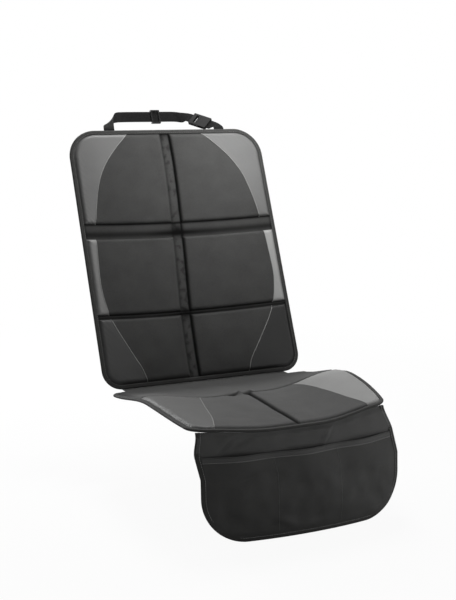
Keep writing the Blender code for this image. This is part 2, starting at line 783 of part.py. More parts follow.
def set_in_frame(made, centre, along, across):
    """Turn a local solid so that its X runs along and its Y runs across."""
    x = along.normalized()
    y = (across - x * across.dot(x)).normalized()
    z = x.cross(y)
    made.matrix_world = Matrix((x, y, z)).transposed().to_4x4()
    made.location = centre


def build_buckle(centre, along, across):
    """Side-release buckle: the tongue's prongs lie in the socket."""
    look = ("black_plastic", BLACK_PLASTIC, 0.4)
    half = BUCKLE_WIDTH / 2
    thick = BUCKLE_THICKNESS / 2
    end = BUCKLE_LENGTH / 2
    mouth = BUCKLE_MOUTH
    roof = thick - BUCKLE_WALL
    side = half - BUCKLE_WALL
    socket = box_mesh("buckle_socket", [
        ((mouth, -half, roof), (end, half, thick)),
        ((mouth, -half, -thick), (end, half, -roof)),
        ((end - BUCKLE_FLOOR, -half, -thick), (end, half, thick)),
        ((mouth, -half, -thick), (mouth + BUCKLE_COLLAR, -side, thick)),
        ((mouth, side, -thick), (mouth + BUCKLE_COLLAR, half, thick))], look)
    set_in_frame(socket, centre, along, across)
    inner = roof - GAP
    reach = side - GAP
    front = mouth - GAP
    base = front - BUCKLE_COLLAR
    rail = half - BUCKLE_COLLAR
    tip = end - BUCKLE_FLOOR - BUCKLE_PRONG_CLEARANCE
    guide = BUCKLE_GUIDE / 2
    tongue = box_mesh("buckle_tongue", [
        ((-end, -half, -thick), (-end + BUCKLE_BAR, half, thick)),
        ((-end, -half, -thick), (front, -rail, thick)),
        ((-end, rail, -thick), (front, half, thick)),
        ((base, -half, -thick), (front, half, thick)),
        ((base, -reach, -inner), (tip, BUCKLE_PRONG - reach, inner)),
        ((base, reach - BUCKLE_PRONG, -inner), (tip, reach, inner)),
        ((base, -guide, -inner), (tip - BUCKLE_GUIDE, guide, inner))], look)
    set_in_frame(tongue, centre, along, across)


def build_slider(centre, along, across):
    """Three-bar slide: end bars before the webbing, the middle bar behind it."""
    rail = WEBBING_WIDTH / 2 + GAP
    outer = rail + SLIDER_RAIL
    front = WEBBING / 2 + GAP
    top = front + SLIDER_FACE
    half = SLIDER_LENGTH / 2
    bar = SLIDER_BAR
    look = ("black_plastic", BLACK_PLASTIC, 0.4)
    slider = box_mesh("strap_slider", [
        ((-half, rail, -top), (half, outer, top)),
        ((-half, -outer, -top), (half, -rail, top)),
        ((-half, -outer, front), (-half + bar, outer, top)),
        ((half - bar, -outer, front), (half, outer, top)),
        ((-bar / 2, -outer, -top), (bar / 2, outer, -front))], look)
    set_in_frame(slider, centre, along, across)


def place_strap(across, rise, depth):
    """Place a strap point by shares of its root's distance, of its lift and of its depth."""
    root = BACK_END + GAP
    edge = BINDING_TOP / 2
    return place_back(across * STRAP_ROOT, root + (STRAP_LEVEL - root) * rise,
                      edge - (STRAP_DEPTH + edge) * depth)


def build_strap():
    """Webbing from the left root, across behind the panel's top, to the buckle and right root."""
    look = ("webbing", BLACK_WEB, 0.7)
    # Share of the root's distance, of the lift and of the depth, and the width's direction
    long_rows = (
        (-1.000, 0.00, 0.00, (1.0, 0.0, 0.0)),
        (-1.000, 0.10, 0.00, (1.0, 0.0, 0.0)),
        (-0.955, 0.36, 0.22, (1.0, 0.2, 0.0)),
        (-0.866, 0.64, 0.50, (0.8, 0.8, 0.0)),
        (-0.731, 0.88, 0.79, (0.2, 1.0, 0.0)),
        (-0.537, 1.00, 1.00, (0.0, 1.0, 0.0)),
        (0.000, 1.00, 1.00, (0.0, 1.0, 0.0)),
        (0.373, 1.00, 1.00, (0.0, 1.0, 0.0)),
        (0.522, 0.91, 0.89, (0.2, 1.0, 0.0)),
    )
    short_rows = ((1.000, 0.10, 0.00, (1.0, 0.0, 0.0)), (1.000, 0.00, 0.00, (1.0, 0.0, 0.0)))
    buckle_place = (0.772, 0.545, 0.453)
    slider_place = (0.045, 1.00, 1.00)
    buckle_along = (0.57, -0.55, 0.62)
    buckle_across = (0.7, 0.7, 0.0)

    def resolve(rows):
        return [(place_strap(*row[:3]), back_direction(*row[3])) for row in rows]

    along = back_direction(*buckle_along).normalized()
    across = back_direction(*buckle_across)
    centre = place_strap(*buckle_place)
    end = BUCKLE_LENGTH / 2 + GAP
    lead = end + BUCKLE_LEAD
    long_path = resolve(long_rows)
    long_path += [(centre - along * lead, across), (centre - along * end, across)]
    band("strap_long", long_path, WEBBING_WIDTH, WEBBING, look)
    build_buckle(centre, along, across)
    short_path = [(centre + along * end, across), (centre + along * lead, across)]
    short_path += resolve(short_rows)
    band("strap_short", short_path, WEBBING_WIDTH, WEBBING, look)
    build_slider(place_strap(*slider_place), back_direction(1.0, 0.0, 0.0),
                 back_direction(0.0, 1.0, 0.0))


def main():
    for old in list(bpy.data.objects):
        bpy.data.objects.remove(old)
    build_back()
    build_seat()
    build_neck()
    build_flap()
    build_strap()


main()
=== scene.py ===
"""Looks of the car seat protector mat: cloth, quilting, tapes, stitching, webbing and plastic.

Metres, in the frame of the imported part. Panels are laid out flat in (x, s, n): x across,
s along the panel from the crease, and n out of its rear or under face.
"""
import bpy
from math import ceil, cos, exp, hypot, pi, radians, sin
from mathutils import Matrix, Vector, noise


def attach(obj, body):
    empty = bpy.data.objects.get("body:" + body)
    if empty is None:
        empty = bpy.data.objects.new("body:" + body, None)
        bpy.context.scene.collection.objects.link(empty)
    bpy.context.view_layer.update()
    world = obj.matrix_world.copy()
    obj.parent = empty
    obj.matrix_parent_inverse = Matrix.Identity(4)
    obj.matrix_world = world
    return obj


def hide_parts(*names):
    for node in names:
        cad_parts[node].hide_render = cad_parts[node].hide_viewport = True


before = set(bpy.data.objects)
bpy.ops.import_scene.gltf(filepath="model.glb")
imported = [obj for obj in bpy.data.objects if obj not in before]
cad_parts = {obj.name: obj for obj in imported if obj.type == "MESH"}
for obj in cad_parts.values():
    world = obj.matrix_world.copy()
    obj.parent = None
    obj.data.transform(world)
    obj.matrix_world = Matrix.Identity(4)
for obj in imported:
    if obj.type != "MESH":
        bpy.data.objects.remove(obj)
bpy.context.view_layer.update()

# Driving sizes, the same as in the part's source
CLOTH = 0.0010
TAPE = 0.0010
FOAM = 0.0062
GAP = 0.0004
EDGE_CLEARANCE = 0.0010
BACK_WIDTH = 0.470
BACK_HEIGHT = 0.582
BACK_RECLINE = radians(23.1)
BACK_TOP_RADIUS = 0.065
BACK_BOTTOM_RADIUS = 0.042
BACK_UPPER_CHANNEL = (0.336, 0.369)
BACK_LOWER_CHANNEL = (0.158, 0.166)
SEAT_WIDTH = 0.464
SEAT_PITCH = radians(2.6)
SEAT_START = 0.030
SEAT_END = 0.462
SEAT_REAR_RADIUS = 0.020
SEAT_FRONT_RADIUS = 0.036
SEAT_CHANNEL = 0.180
SEAT_FRONT_ARC = 0.024
SEAT_FRONT_TAPER = 0.128
SEAT_FRONT_SKEW = -0.022
BOLSTER_START = 0.060
BOLSTER_RISE_LEFT = 0.0214
BOLSTER_RISE_RIGHT = 0.0340
BOLSTER_RAMP_END = 0.240
BOLSTER_FRONT_LOSS = 0.55
CENTRE_BAND = 0.021
BINDING_FACE = 0.0095
FLAP_BOTTOM = -0.180
FLAP_TOP_WIDTH = 0.392
FLAP_WIDTH = 0.416
FLAP_RADIUS = 0.085
FLAP_HEAD = 0.045
FLAP_LEAN = 0.05
FLAP_RETURN = 0.022
FLAP_PLUMB = -0.060
POCKET_MOUTH = -0.018
POCKET_HEM = 0.011
POCKET_COUNT = 3
POCKET_BULGE_DEPTH = 0.78
WEBBING_WIDTH = 0.025
BUCKLE_LEAD = 0.009
WEBBING = 0.0014
STRAP_ROOT = 0.134
STRAP_DEPTH = 0.055
STRAP_LEVEL = 0.640
BUCKLE_LENGTH = 0.046

# Levels through a panel and through the flap
BACKING_EDGE = TAPE + GAP
FACE_EDGE_TOP = BACKING_EDGE + CLOTH + GAP + CLOTH
BINDING_TOP = FACE_EDGE_TOP + GAP + TAPE
CHANNEL_TOP = CLOTH + GAP + CLOTH
PLATEAU = CLOTH + GAP + FOAM + GAP + CLOTH
EDGE_FLAT = BINDING_FACE + EDGE_CLEARANCE
SHEET_INSET = TAPE + EDGE_CLEARANCE
FLAP_SHEET = TAPE + GAP
POCKET_SHEET = FLAP_SHEET + CLOTH + GAP
FLAP_BINDING_TOP = POCKET_SHEET + CLOTH + GAP + TAPE
NECK_TOP = BACKING_EDGE + CLOTH
BACK_START = (NECK_TOP + GAP) / cos(BACK_RECLINE)
BACK_END = BACK_START + BACK_HEIGHT
SEAT_RIM = SEAT_WIDTH / 2 - EDGE_FLAT

# How finely the cloth is modelled
CELL = 0.0040
FINE_CELL = 0.0012
FINE_REACH = 0.013
INSET_CELL = 0.0030
STRIP_CELL = 0.0016
LINING_CELL = 0.0050
HEM_CELL = 0.0028
SEAM_PITCH = 0.006

# How pads rise between seams, how cloth puckers beside them, and the forms of tape and lining
PILLOW = 0.013
PILLOW_POWER = 5.0
EDGE_PILLOW = 0.009
EDGE_PILLOW_POWER = 2.2
CROWN = 0.0016
CROWN_REACH = 0.050
UNEVEN = 0.0006
UNEVEN_SIZE = 0.045
PUCKER = 0.00040
PUCKER_START = 0.003
PUCKER_REACH = 0.009
PUCKER_PITCH = 0.014
PUCKER_STRAY = 5.0
BAND_RISE = 0.0022
SEAT_GROOVE = 0.004
TAPE_PUFF = 0.0003
TAPE_LIP = 0.0012
TAPE_LIP_DROP = 0.0003
TAPE_LIP_RISE = 0.0001
PIPE_RADIUS = 0.0008
LINING_STEP = 0.004
LINING_SWELL = 0.0002

# Stitches, their thread, and where the row along the edge tapes runs
STITCH = 0.0036
STITCH_PITCH = 0.0046
STITCH_SIDES = 6
THREAD = 0.00042
HEAVY_THREAD = 0.0005
EDGE_ROW = BINDING_FACE - 0.0018

# Painted shade in creases: the share of colour that cloth loses, and how far that reaches (of a
# pit's reach)
RIM_SHADE = (0.45, 0.0030)
CHANNEL_HIGH_SHADE = (0.90, 0.0026)
CROSSING_SHADE = (0.85, 0.014)
SEWN_LINE_SHADE = (0.18, 0.0030)
BAND_INNER_SHADE = (0.93, 0.0022)
BAND_RIGHT_SHADE = (0.93, 0.0042)
BAND_LEFT_SHADE = (0.50, 0.0036)
PIT_SHADE = (0.90, 1.25)
# Painted shadow: the seat's rear is painted darker towards the back panel
REAR_SHADE = 0.58
REAR_SHADE_REACH = 0.10
BAND_END_SHADE = 0.80
BAND_END_REACH = 0.010
WRINKLE_SHADE = 0.45
WRINKLE_SIZE = 0.011
DARKEST = 0.03

# The sunk part of a channel, in painted shade: its shade at the sides, what the middle adds,
# and its place
SUNK_SHADE = 0.72
SUNK_MIDDLE_SHADE = 0.23
SUNK_MIDDLE = 0.060
SUNK_PLACE = 0.30
SUNK_SPREAD = 0.20
SUNK_MARGIN = 0.0015

# How the mat has settled in use: where its sewn lines have moved to
BAND_DRIFT = ((0.00, -0.0270), (0.15, -0.0265), (0.30, -0.0235), (0.50, -0.0150),
              (0.65, -0.0100), (0.85, -0.0050), (1.00, -0.0060))
CHANNEL_SAG = 0.006
GROOVE_DRIFT = ((0.18, 0.012), (0.33, 0.001), (0.45, 0.001))


def smooth(t):
    t = min(max(t, 0.0), 1.0)
    return t * t * (3.0 - 2.0 * t)


def through(points, s):
    """Smooth value at s through (s, value) pairs."""
    def slope(i):
        low = points[max(i - 1, 0)]
        high = points[min(i + 1, len(points) - 1)]
        return (high[1] - low[1]) / (high[0] - low[0])

    s = min(max(s, points[0][0]), points[-1][0])
    i = 0
    while i < len(points) - 2 and s > points[i + 1][0]:
        i += 1
    (s0, v0), (s1, v1) = points[i], points[i + 1]
    run = s1 - s0
    t = (s - s0) / run
    return ((2 * t ** 3 - 3 * t ** 2 + 1) * v0 + (t ** 3 - 2 * t ** 2 + t) * run * slope(i)
            + (3 * t ** 2 - 2 * t ** 3) * v1 + (t ** 3 - t ** 2) * run * slope(i + 1))


def bell(t):
    return exp(-t * t)


def darken(shade, distance):
    """Share of colour that cloth keeps at a distance from a crease whose shade is painted in.
    """
    loss, reach = shade
    return 1.0 - loss * bell(distance / reach)


def even(low, high, count):
    """Values in count even steps from low to high, with both ends."""
    return [low + (high - low) * i / count for i in range(count + 1)]


def wave(x, s, scale, seed):
    """Smooth noise between about -1 and 1, with features of the given size."""
    return noise.noise(Vector((x / scale, s / scale, seed)))


def place_back(x, s, n):
    """Place a point of the back panel; it turns directions too, as the origin stays put."""
    up = Vector((0.0, sin(BACK_RECLINE), cos(BACK_RECLINE)))
    out = Vector((0.0, -cos(BACK_RECLINE), sin(BACK_RECLINE)))
    return Vector((x, 0.0, 0.0)) + up * s + out * n


def seat_rise(x, s):
    """How far the seat panel's sides rise above its middle."""
    rise = BOLSTER_RISE_RIGHT if x > 0 else BOLSTER_RISE_LEFT
    reach = smooth((abs(x) - BOLSTER_START) / (SEAT_RIM - BOLSTER_START))
    ramp = smooth((s - SEAT_START) / (BOLSTER_RAMP_END - SEAT_START))
    front = smooth((s - SEAT_CHANNEL) / (SEAT_END - SEAT_CHANNEL))
    return rise * reach * ramp * (1.0 - BOLSTER_FRONT_LOSS * front)


def place_seat(x, s, n):
    t = max(0.0, (s - SEAT_CHANNEL) / (SEAT_END - SEAT_CHANNEL)) ** 2
    across = x * (1.0 - SEAT_FRONT_TAPER * t) + SEAT_FRONT_SKEW * t
    along = s - SEAT_FRONT_ARC * t * (x / (SEAT_WIDTH / 2)) ** 2
    ahead = Vector((0.0, -cos(SEAT_PITCH), sin(SEAT_PITCH)))
    up = Vector((0.0, sin(SEAT_PITCH), cos(SEAT_PITCH)))
    return Vector((across, 0.0, 0.0)) + ahead * along + up * (n + seat_rise(x, s))


def channel_shade(x, s, low, high):
    """Share of colour kept in a channel under painted shade, least where the centre band meets
    it.
    """
    wide = high - low
    sunk = bell((s - low - SUNK_PLACE * wide) / (SUNK_SPREAD * wide + SUNK_MARGIN))
    kept = 1.0 - (SUNK_SHADE + SUNK_MIDDLE_SHADE * bell(x / SUNK_MIDDLE)) * sunk
    kept *= darken(CHANNEL_HIGH_SHADE, s - high)
    return kept * darken(CROSSING_SHADE, hypot(x, s - (low + high) / 2))


class Panel:
    """A rounded rectangle in (x, s) with quilting channels, and how it has settled."""

    def __init__(self, width, start, end, low_radius, high_radius, channels, band_start,
                 band, place, settle, lumps=()):
        self.half = width / 2
        self.start, self.end = start, end
        self.low_radius, self.high_radius = low_radius, high_radius
        self.channels = channels
        self.band_start = band_start
        self.band = band
        self.place_flat = place
        self.settle = settle
        self.lumps = lumps

    def place(self, x, s, n):
        """Place a point of the sewn layout, after the cloth has settled inside its edges."""
        dx, ds = self.settle(s)
        side = 1.0 - (x / max(0.01, self.half_at(s, 0.0))) ** 2
        along = smooth(min(self.end - s, s - self.start) / 0.060)
        return self.place_flat(x + dx * max(0.0, side) ** 1.5, s + ds * side * along, n)

    def corner(self, high, inset, steps):
        radius = self.high_radius if high else self.low_radius
        level = self.end - radius if high else self.start + radius
        first = 0.0 if high else -pi / 2
        for angle in even(first, first + pi / 2, steps):
            yield (self.half - radius + (radius - inset) * cos(angle),
                   level + (radius - inset) * sin(angle))

    def loop(self, inset):
        """The closed outline, moved in by inset, with a point in every cell or so."""
        low = list(self.corner(False, inset, max(4, ceil(pi / 2 * self.low_radius / CELL))))
        high = list(self.corner(True, inset, max(4, ceil(pi / 2 * self.high_radius / CELL))))
        rise = self.end - self.high_radius - self.start - self.low_radius
        foot = self.start + self.low_radius
        side = [(self.half - inset, s)
                for s in even(foot, foot + rise, ceil(rise / CELL))[1:-1]]
        top = self.half - self.high_radius
        across = [(x, self.end - inset) for x in even(top, -top, ceil(2 * top / CELL))[1:-1]]
        bottom = self.half - self.low_radius
        under = [(x, self.start + inset)
                 for x in even(-bottom, bottom, ceil(2 * bottom / CELL))[1:-1]]
        right = low + side + high
        return right + across + [(-x, s) for x, s in reversed(right)] + under

    def channel_puff(self, x, s):
        """The cloth between a channel's two rows of stitches stands up a little."""
        for low, high in self.channels:
            if low < s < high:
                return BAND_RISE * sin(pi * (s - low) / (high - low)) ** 0.5
        if s > self.band_start and abs(x) < self.band / 2:
            return BAND_RISE * cos(pi * x / self.band) ** 0.5
        return 0.0

    def shade(self, x, s):
        """Share of colour that the face keeps under painted shade: darker in creases, in pits
        and at the seat's rear.
        """
        kept = darken(RIM_SHADE, self.inside(x, s) - EDGE_FLAT)
        for low, high in self.channels:
            if high > low:
                kept *= channel_shade(x, s, low, high)
            else:
                kept *= darken(SEWN_LINE_SHADE, s - low)
                # Painted shadow: the seat's cloth darkens behind its cross channel, towards the
                # back panel
                kept *= 1.0 - REAR_SHADE * smooth((low - s) / REAR_SHADE_REACH)
        if s > self.band_start:
            kept *= self.band_shade(x, s)
        for lump_x, lump_s, reach, height in self.lumps:
            if height < 0:
                kept *= darken(PIT_SHADE, hypot(x - lump_x, s - lump_s) / reach)
        return max(DARKEST, kept)

    def band_shade(self, x, s):
        """Share of colour kept on the centre band and beside it, under painted shade."""
        half = self.band / 2
        kept = darken(BAND_RIGHT_SHADE if x > half else BAND_INNER_SHADE, x - half)
        kept *= darken(BAND_LEFT_SHADE, x + half)
        if abs(x) < half:
            # Painted shade: dark patches for the band's wrinkles, and darker near the band's
            # top end
            kept *= 1.0 - WRINKLE_SHADE * smooth(2.0 * wave(x, s, WRINKLE_SIZE, 21.0))
            before_end = max(0.0, self.end - EDGE_FLAT - s)
            kept *= 1.0 - BAND_END_SHADE * exp(-before_end / BAND_END_REACH)
        return kept

    def side(self, sign):
        """The side line of the panel's sheets, left at sign -1, as a function of s."""
        return lambda s: sign * self.half_at(s, SHEET_INSET)

    def half_at(self, s, inset):
        """Half-width of the outline, moved in by inset, at station s."""
        for radius, level, sign in ((self.high_radius, self.end - self.high_radius, 1),
                                    (self.low_radius, self.start + self.low_radius, -1)):
            over = (s - level) * sign
            if over > 0:
                reach = radius - inset
                return self.half - radius + max(0.0, reach ** 2 - min(over, reach) ** 2) ** 0.5
        return self.half - inset

    def inside(self, x, s):
        """Distance from the outline, positive inside."""
        high = s > (self.start + self.end) / 2
        radius = self.high_radius if high else self.low_radius
        dx = abs(x) - (self.half - radius)
        ds = s - (self.end - radius) if high else (self.start + radius) - s
        if dx > 0 and ds > 0:
            return radius - hypot(dx, ds)
        return min(self.half - abs(x), self.end - s, s - self.start)

    def face_top(self, x, s):
        """Level of the quilted face: full pillows between channels sewn right down."""
        edge = self.inside(x, s)
        t = min(1.0, max(0.0, (edge - EDGE_FLAT) / EDGE_PILLOW))
        rim = FACE_EDGE_TOP + (PLATEAU - FACE_EDGE_TOP) * (1.0 - (1.0 - t) ** EDGE_PILLOW_POWER)
        gaps = [max(low - s, s - high) for low, high in self.channels]
        if s > self.band_start:
            gaps.append(abs(x) - self.band / 2)
        nearest = max(0.0, min(gaps))
        t = min(1.0, nearest / PILLOW)
        rise = 1.0 - (1.0 - t) ** PILLOW_POWER
        level = min(rim, CHANNEL_TOP + (PLATEAU - CHANNEL_TOP) * rise)
        level += self.channel_puff(x, s)
        level = max(level, min(FACE_EDGE_TOP, CHANNEL_TOP + max(0.0, edge)))
        close = min(nearest, max(0.0, edge - EDGE_FLAT))
        away = exp(-close / PUCKER_REACH) * min(1.0, close / PUCKER_START)
        pull = sin(2 * pi * (x + s) / PUCKER_PITCH + PUCKER_STRAY * wave(x, s, 0.03, 2.0))
        level += PUCKER * away * pull
        level += CROWN * smooth(close / CROWN_REACH) + UNEVEN * wave(x, s, UNEVEN_SIZE, 7.0)
        for lump_x, lump_s, reach, height in self.lumps:
            level += height * bell(hypot(x - lump_x, s - lump_s) / reach)
        return max(level, CHANNEL_TOP)


def settle_back(s):
    return through(BAND_DRIFT, (s - BACK_START) / BACK_HEIGHT), -CHANNEL_SAG


def settle_seat(s):
    return through(GROOVE_DRIFT, s), 0.0


# Where the seat panel's cloth bunches and sinks: x, s, reach and height of each spot; sunk
# spots also get painted shade
SEAT_LUMPS = ((-0.022, 0.184, 0.0085, 0.0085), (-0.035, 0.185, 0.0080, -0.0070),
              (-0.008, 0.185, 0.0072, -0.0070), (0.008, 0.175, 0.0070, 0.0040),
              (-0.105, 0.120, 0.0250, 0.0020), (-0.040, 0.135, 0.0300, 0.0020))
BACK = Panel(BACK_WIDTH, BACK_START, BACK_END, BACK_BOTTOM_RADIUS, BACK_TOP_RADIUS,
             (BACK_LOWER_CHANNEL, BACK_UPPER_CHANNEL), -1.0, CENTRE_BAND, place_back,
             settle_back)
SEAT = Panel(SEAT_WIDTH, SEAT_START, SEAT_END, SEAT_REAR_RADIUS, SEAT_FRONT_RADIUS,
             ((SEAT_CHANNEL, SEAT_CHANNEL),), SEAT_CHANNEL, SEAT_GROOVE, place_seat,
             settle_seat, SEAT_LUMPS)


def back_seam(s):
    """Half-width of the back panel's middle field."""
    shape = ((0.00, 0.118), (0.07, 0.130), (0.14, 0.154), (0.26, 0.192), (0.37, 0.207),
             (0.46, 0.207), (0.63, 0.199), (0.79, 0.178), (0.86, 0.158), (0.92, 0.131),
             (1.00, 0.080))
    return through(shape, (s - BACK_START) / BACK_HEIGHT)


def seat_seam(s):
    """Half-width of the seat panel's middle field in front of its cross channel."""
    shape = ((0.00, 0.104), (0.16, 0.117), (0.40, 0.134), (0.70, 0.155), (0.90, 0.175),
             (1.00, 0.186))
    return through(shape, (s - SEAT_CHANNEL) / (SEAT_END - SEAT_CHANNEL))


# Materials

# What slubs and clouds add to the weave's tone, the ends of the ramp that turns the sum into
# colour, and how far beyond the mottle those ends lie
SLUB_SHARE = 0.6
CLOUD_SHARE = 0.7
TONE_ENDS = (0.25, 1.45 / 1.5)
MOTTLE_SPAN = 2.5


def new_material(name):
    """A material, its nodes, the function that links them, and its main shader."""
    made = bpy.data.materials.new(name)
    made.use_nodes = True
    tree = made.node_tree
    return made, tree.nodes, tree.links.new, tree.nodes["Principled BSDF"]


def fill(node, **values):
    """Set the inputs of a node; an underscore stands for the space in an input's name."""
    for name, value in values.items():
        node.inputs[name.replace("_", " ")].default_value = value
    return node


def operator(nodes, operation, kind="ShaderNodeMath"):
    made = nodes.new(kind)
    made.operation = operation
    return made


def cloth(name, colour, roughness, specular, weave, bump, mottle=0.10):
    """Woven cloth: two crossed yarn directions, slubs, a little uneven colour and painted
    shade.
    """
    made, nodes, link, shader = new_material(name)
    fill(shader, Roughness=roughness, Specular_IOR_Level=specular)
    flat = nodes.new("ShaderNodeTexCoord").outputs["UV"]
    crossed = operator(nodes, "MULTIPLY")
    for number, direction in enumerate(("X", "Y")):
        yarn = nodes.new("ShaderNodeTexWave")
        yarn.bands_direction = direction
        fill(yarn, Scale=pi / 10 / weave, Distortion=0.6, Detail_Scale=2.0)
        link(flat, yarn.inputs["Vector"])
        link(yarn.outputs["Fac"], crossed.inputs[number])
    slub = fill(nodes.new("ShaderNodeTexNoise"), Scale=0.35 / weave, Detail=4.0)
    cloud = fill(nodes.new("ShaderNodeTexNoise"), Scale=22.0, Detail=3.0)
    tones, mixed = operator(nodes, "MULTIPLY_ADD"), operator(nodes, "MULTIPLY_ADD")
    for noise_node, share, total, before in ((slub, SLUB_SHARE, tones, crossed),
                                             (cloud, CLOUD_SHARE, mixed, tones)):
        link(flat, noise_node.inputs["Vector"])
        link(noise_node.outputs["Fac"], total.inputs[0])
        total.inputs[1].default_value = share
        link(before.outputs["Value"], total.inputs[2])
    ramp = nodes.new("ShaderNodeValToRGB")
    for end, place, sign in zip(ramp.color_ramp.elements, TONE_ENDS, (-1, 1)):
        end.position = place
        end.color = (*[c * (1 + sign * MOTTLE_SPAN * mottle) for c in colour], 1)
    link(mixed.outputs["Value"], ramp.inputs["Fac"])
    # Painted shade: the colour is scaled by each point's shade attribute
    kept = nodes.new("ShaderNodeAttribute")
    kept.attribute_name = "shade"
    painted_shade = operator(nodes, "SCALE", "ShaderNodeVectorMath")
    link(ramp.outputs["Color"], painted_shade.inputs[0])
    link(kept.outputs["Fac"], painted_shade.inputs["Scale"])
    link(painted_shade.outputs["Vector"], shader.inputs["Base Color"])
    relief = fill(nodes.new("ShaderNodeBump"), Strength=bump, Distance=weave / 4)
    link(tones.outputs["Value"], relief.inputs["Height"])
    link(relief.outputs["Normal"], shader.inputs["Normal"])
    return made


def plastic(name, colour, roughness):
    """Moulded plastic with a fine spark-eroded grain."""
    made, nodes, link, shader = new_material(name)
    fill(shader, Base_Color=(*colour, 1), Specular_IOR_Level=0.08)
    grain = fill(nodes.new("ShaderNodeTexNoise"), Scale=2500.0)
    place = nodes.new("ShaderNodeTexCoord")
    link(place.outputs["Object"], grain.inputs["Vector"])
    tone = fill(nodes.new("ShaderNodeMapRange"), To_Min=roughness - 0.08,
                To_Max=roughness + 0.10)
    link(grain.outputs["Fac"], tone.inputs["Value"])
    link(tone.outputs["Result"], shader.inputs["Roughness"])
    relief = fill(nodes.new("ShaderNodeBump"), Strength=0.15, Distance=0.0002)
    link(grain.outputs["Fac"], relief.inputs["Height"])
    link(relief.outputs["Normal"], shader.inputs["Normal"])
    return made


def inset_cloth(name, tone):
    """Smooth coated cloth of the side insets, in a tone with painted light and shade for its
    spot.
    """
    return cloth(name, (tone, tone, tone * 0.985), 0.50, 0.22, 0.0008, 0.22, 0.04)


# Each cloth: name, colour, roughness, gloss, weave in metres, bump and, last, mottle
FIELD = cloth("field_cloth", (0.050, 0.050, 0.049), 0.80, 0.06, 0.0011, 0.60, 0.15)
# Painted sheen: the seat's field cloth is a lighter copy of the back's field cloth
SEAT_FIELD = cloth("seat_field_cloth", (0.095, 0.095, 0.094), 0.75, 0.12, 0.0011, 0.60)
# Painted light and shade: one inset cloth in lit and shaded copies, one tone for each spot
INSET_LIT_AND_SHADED_TONES = {
    "top_left": 0.136, "top_right": 0.116,
    "middle_left": 0.215, "middle_right": 0.315,
    "lower_left": 0.050, "lower_right": 0.020,
    "seat_left": 0.110, "seat_right": 0.285,
}
INSETS = {spot: inset_cloth("inset_cloth_" + spot, tone) for spot, tone in INSET_LIT_AND_SHADED_TONES.items()}
EDGE = cloth("edge_tape_cloth", (0.032, 0.032, 0.031), 0.65, 0.14, 0.0009, 0.50)
LINING = cloth("lining_cloth", (0.045, 0.045, 0.045), 0.85, 0.10, 0.0022, 0.80, 0.08)
# Painted light and shade: the flap's panel and its pocket are one cloth, the panel lighter and
# the pocket darker
FLAP_FACE = cloth("flap_cloth", (0.060, 0.060, 0.059), 0.62, 0.16, 0.0009, 0.45)
POCKET_FACE = cloth("pocket_cloth", (0.040, 0.040, 0.039), 0.62, 0.16, 0.0009, 0.45)
WEB = cloth("webbing_cloth", (0.008, 0.008, 0.008), 0.75, 0.06, 0.0016, 0.90, 0.15)
PIPING = cloth("seam_thread", (0.230, 0.230, 0.225), 0.55, 0.30, 0.0006, 0.30, 0.05)
DARK_THREAD = cloth("dark_thread", (0.110, 0.110, 0.108), 0.60, 0.20, 0.0006, 0.30)
BLACK = plastic("moulded_plastic", (0.008, 0.008, 0.008), 0.50)


# Meshes

def add_object(name, data):
    made = bpy.data.objects.new(name, data)
    bpy.context.scene.collection.objects.link(made)
    return made


def add_mesh(name, points, faces, flat, look, nodes=(), shades=None):
    """A piece that rides on the mat; flat gives each point's place in the cloth, in metres, and
    shades each point's painted shade.
    """
    mesh = bpy.data.meshes.new(name)
    mesh.from_pydata([tuple(p) for p in points], [], faces)
    layout = mesh.uv_layers.new(name="flat")
    for corner, vertex in enumerate(v for face in faces for v in face):
        layout.data[corner].uv = flat[vertex]
    # Painted shade: each point's share of its colour
    kept = mesh.attributes.new("shade", "FLOAT", "POINT")
    kept.data.foreach_set("value", shades or [1.0] * len(points))
    made = add_object(name, mesh)
    mesh.materials.append(look)
    mesh.shade_smooth()
    mesh.set_sharp_from_angle(angle=radians(50))
    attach(made, "root")
    if nodes:
        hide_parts(*nodes)
    return made


def slab(upper, lower, grid):
    """Points, faces and flat places of a closed sheet between two grids of points."""
    rows = len(upper)
    columns = len(upper[0])
    points = [p for row in upper for p in row] + [p for row in lower for p in row]
    flat = [p for row in grid for p in row] * 2
    count = rows * columns
    faces = []
    for r in range(rows - 1):
        for c in range(columns - 1):
            a = r * columns + c
            b, d = a + 1, a + columns
            e = d + 1
            faces.append((a, b, e, d))
            faces.append((a + count, d + count, e + count, b + count))
    rim = [*range(columns), *range(2 * columns - 1, count, columns),
           *range(count - 2, count - columns - 1, -1), *range(count - 2 * columns, 0, -columns)]
    for a, b in zip(rim, rim[1:] + rim[:1]):
        faces.append((a, a + count, b + count, b))
    return points, faces, flat


def spread(low, high, pitch):
    """Even steps of about the pitch from low up to, but not including, high."""
    return even(low, high, max(1, ceil((high - low) / pitch)))[:-1]


def steps_between(low, high, pitch):
    """Steps that are fine near both ends, where cloth turns down, and even between."""
    if high - low < 3 * FINE_REACH:
        return spread(low, high, pitch) + [high]
    return (spread(low, low + FINE_REACH, FINE_CELL)
            + spread(low + FINE_REACH, high - FINE_REACH, pitch)
            + spread(high - FINE_REACH, high, FINE_CELL) + [high])


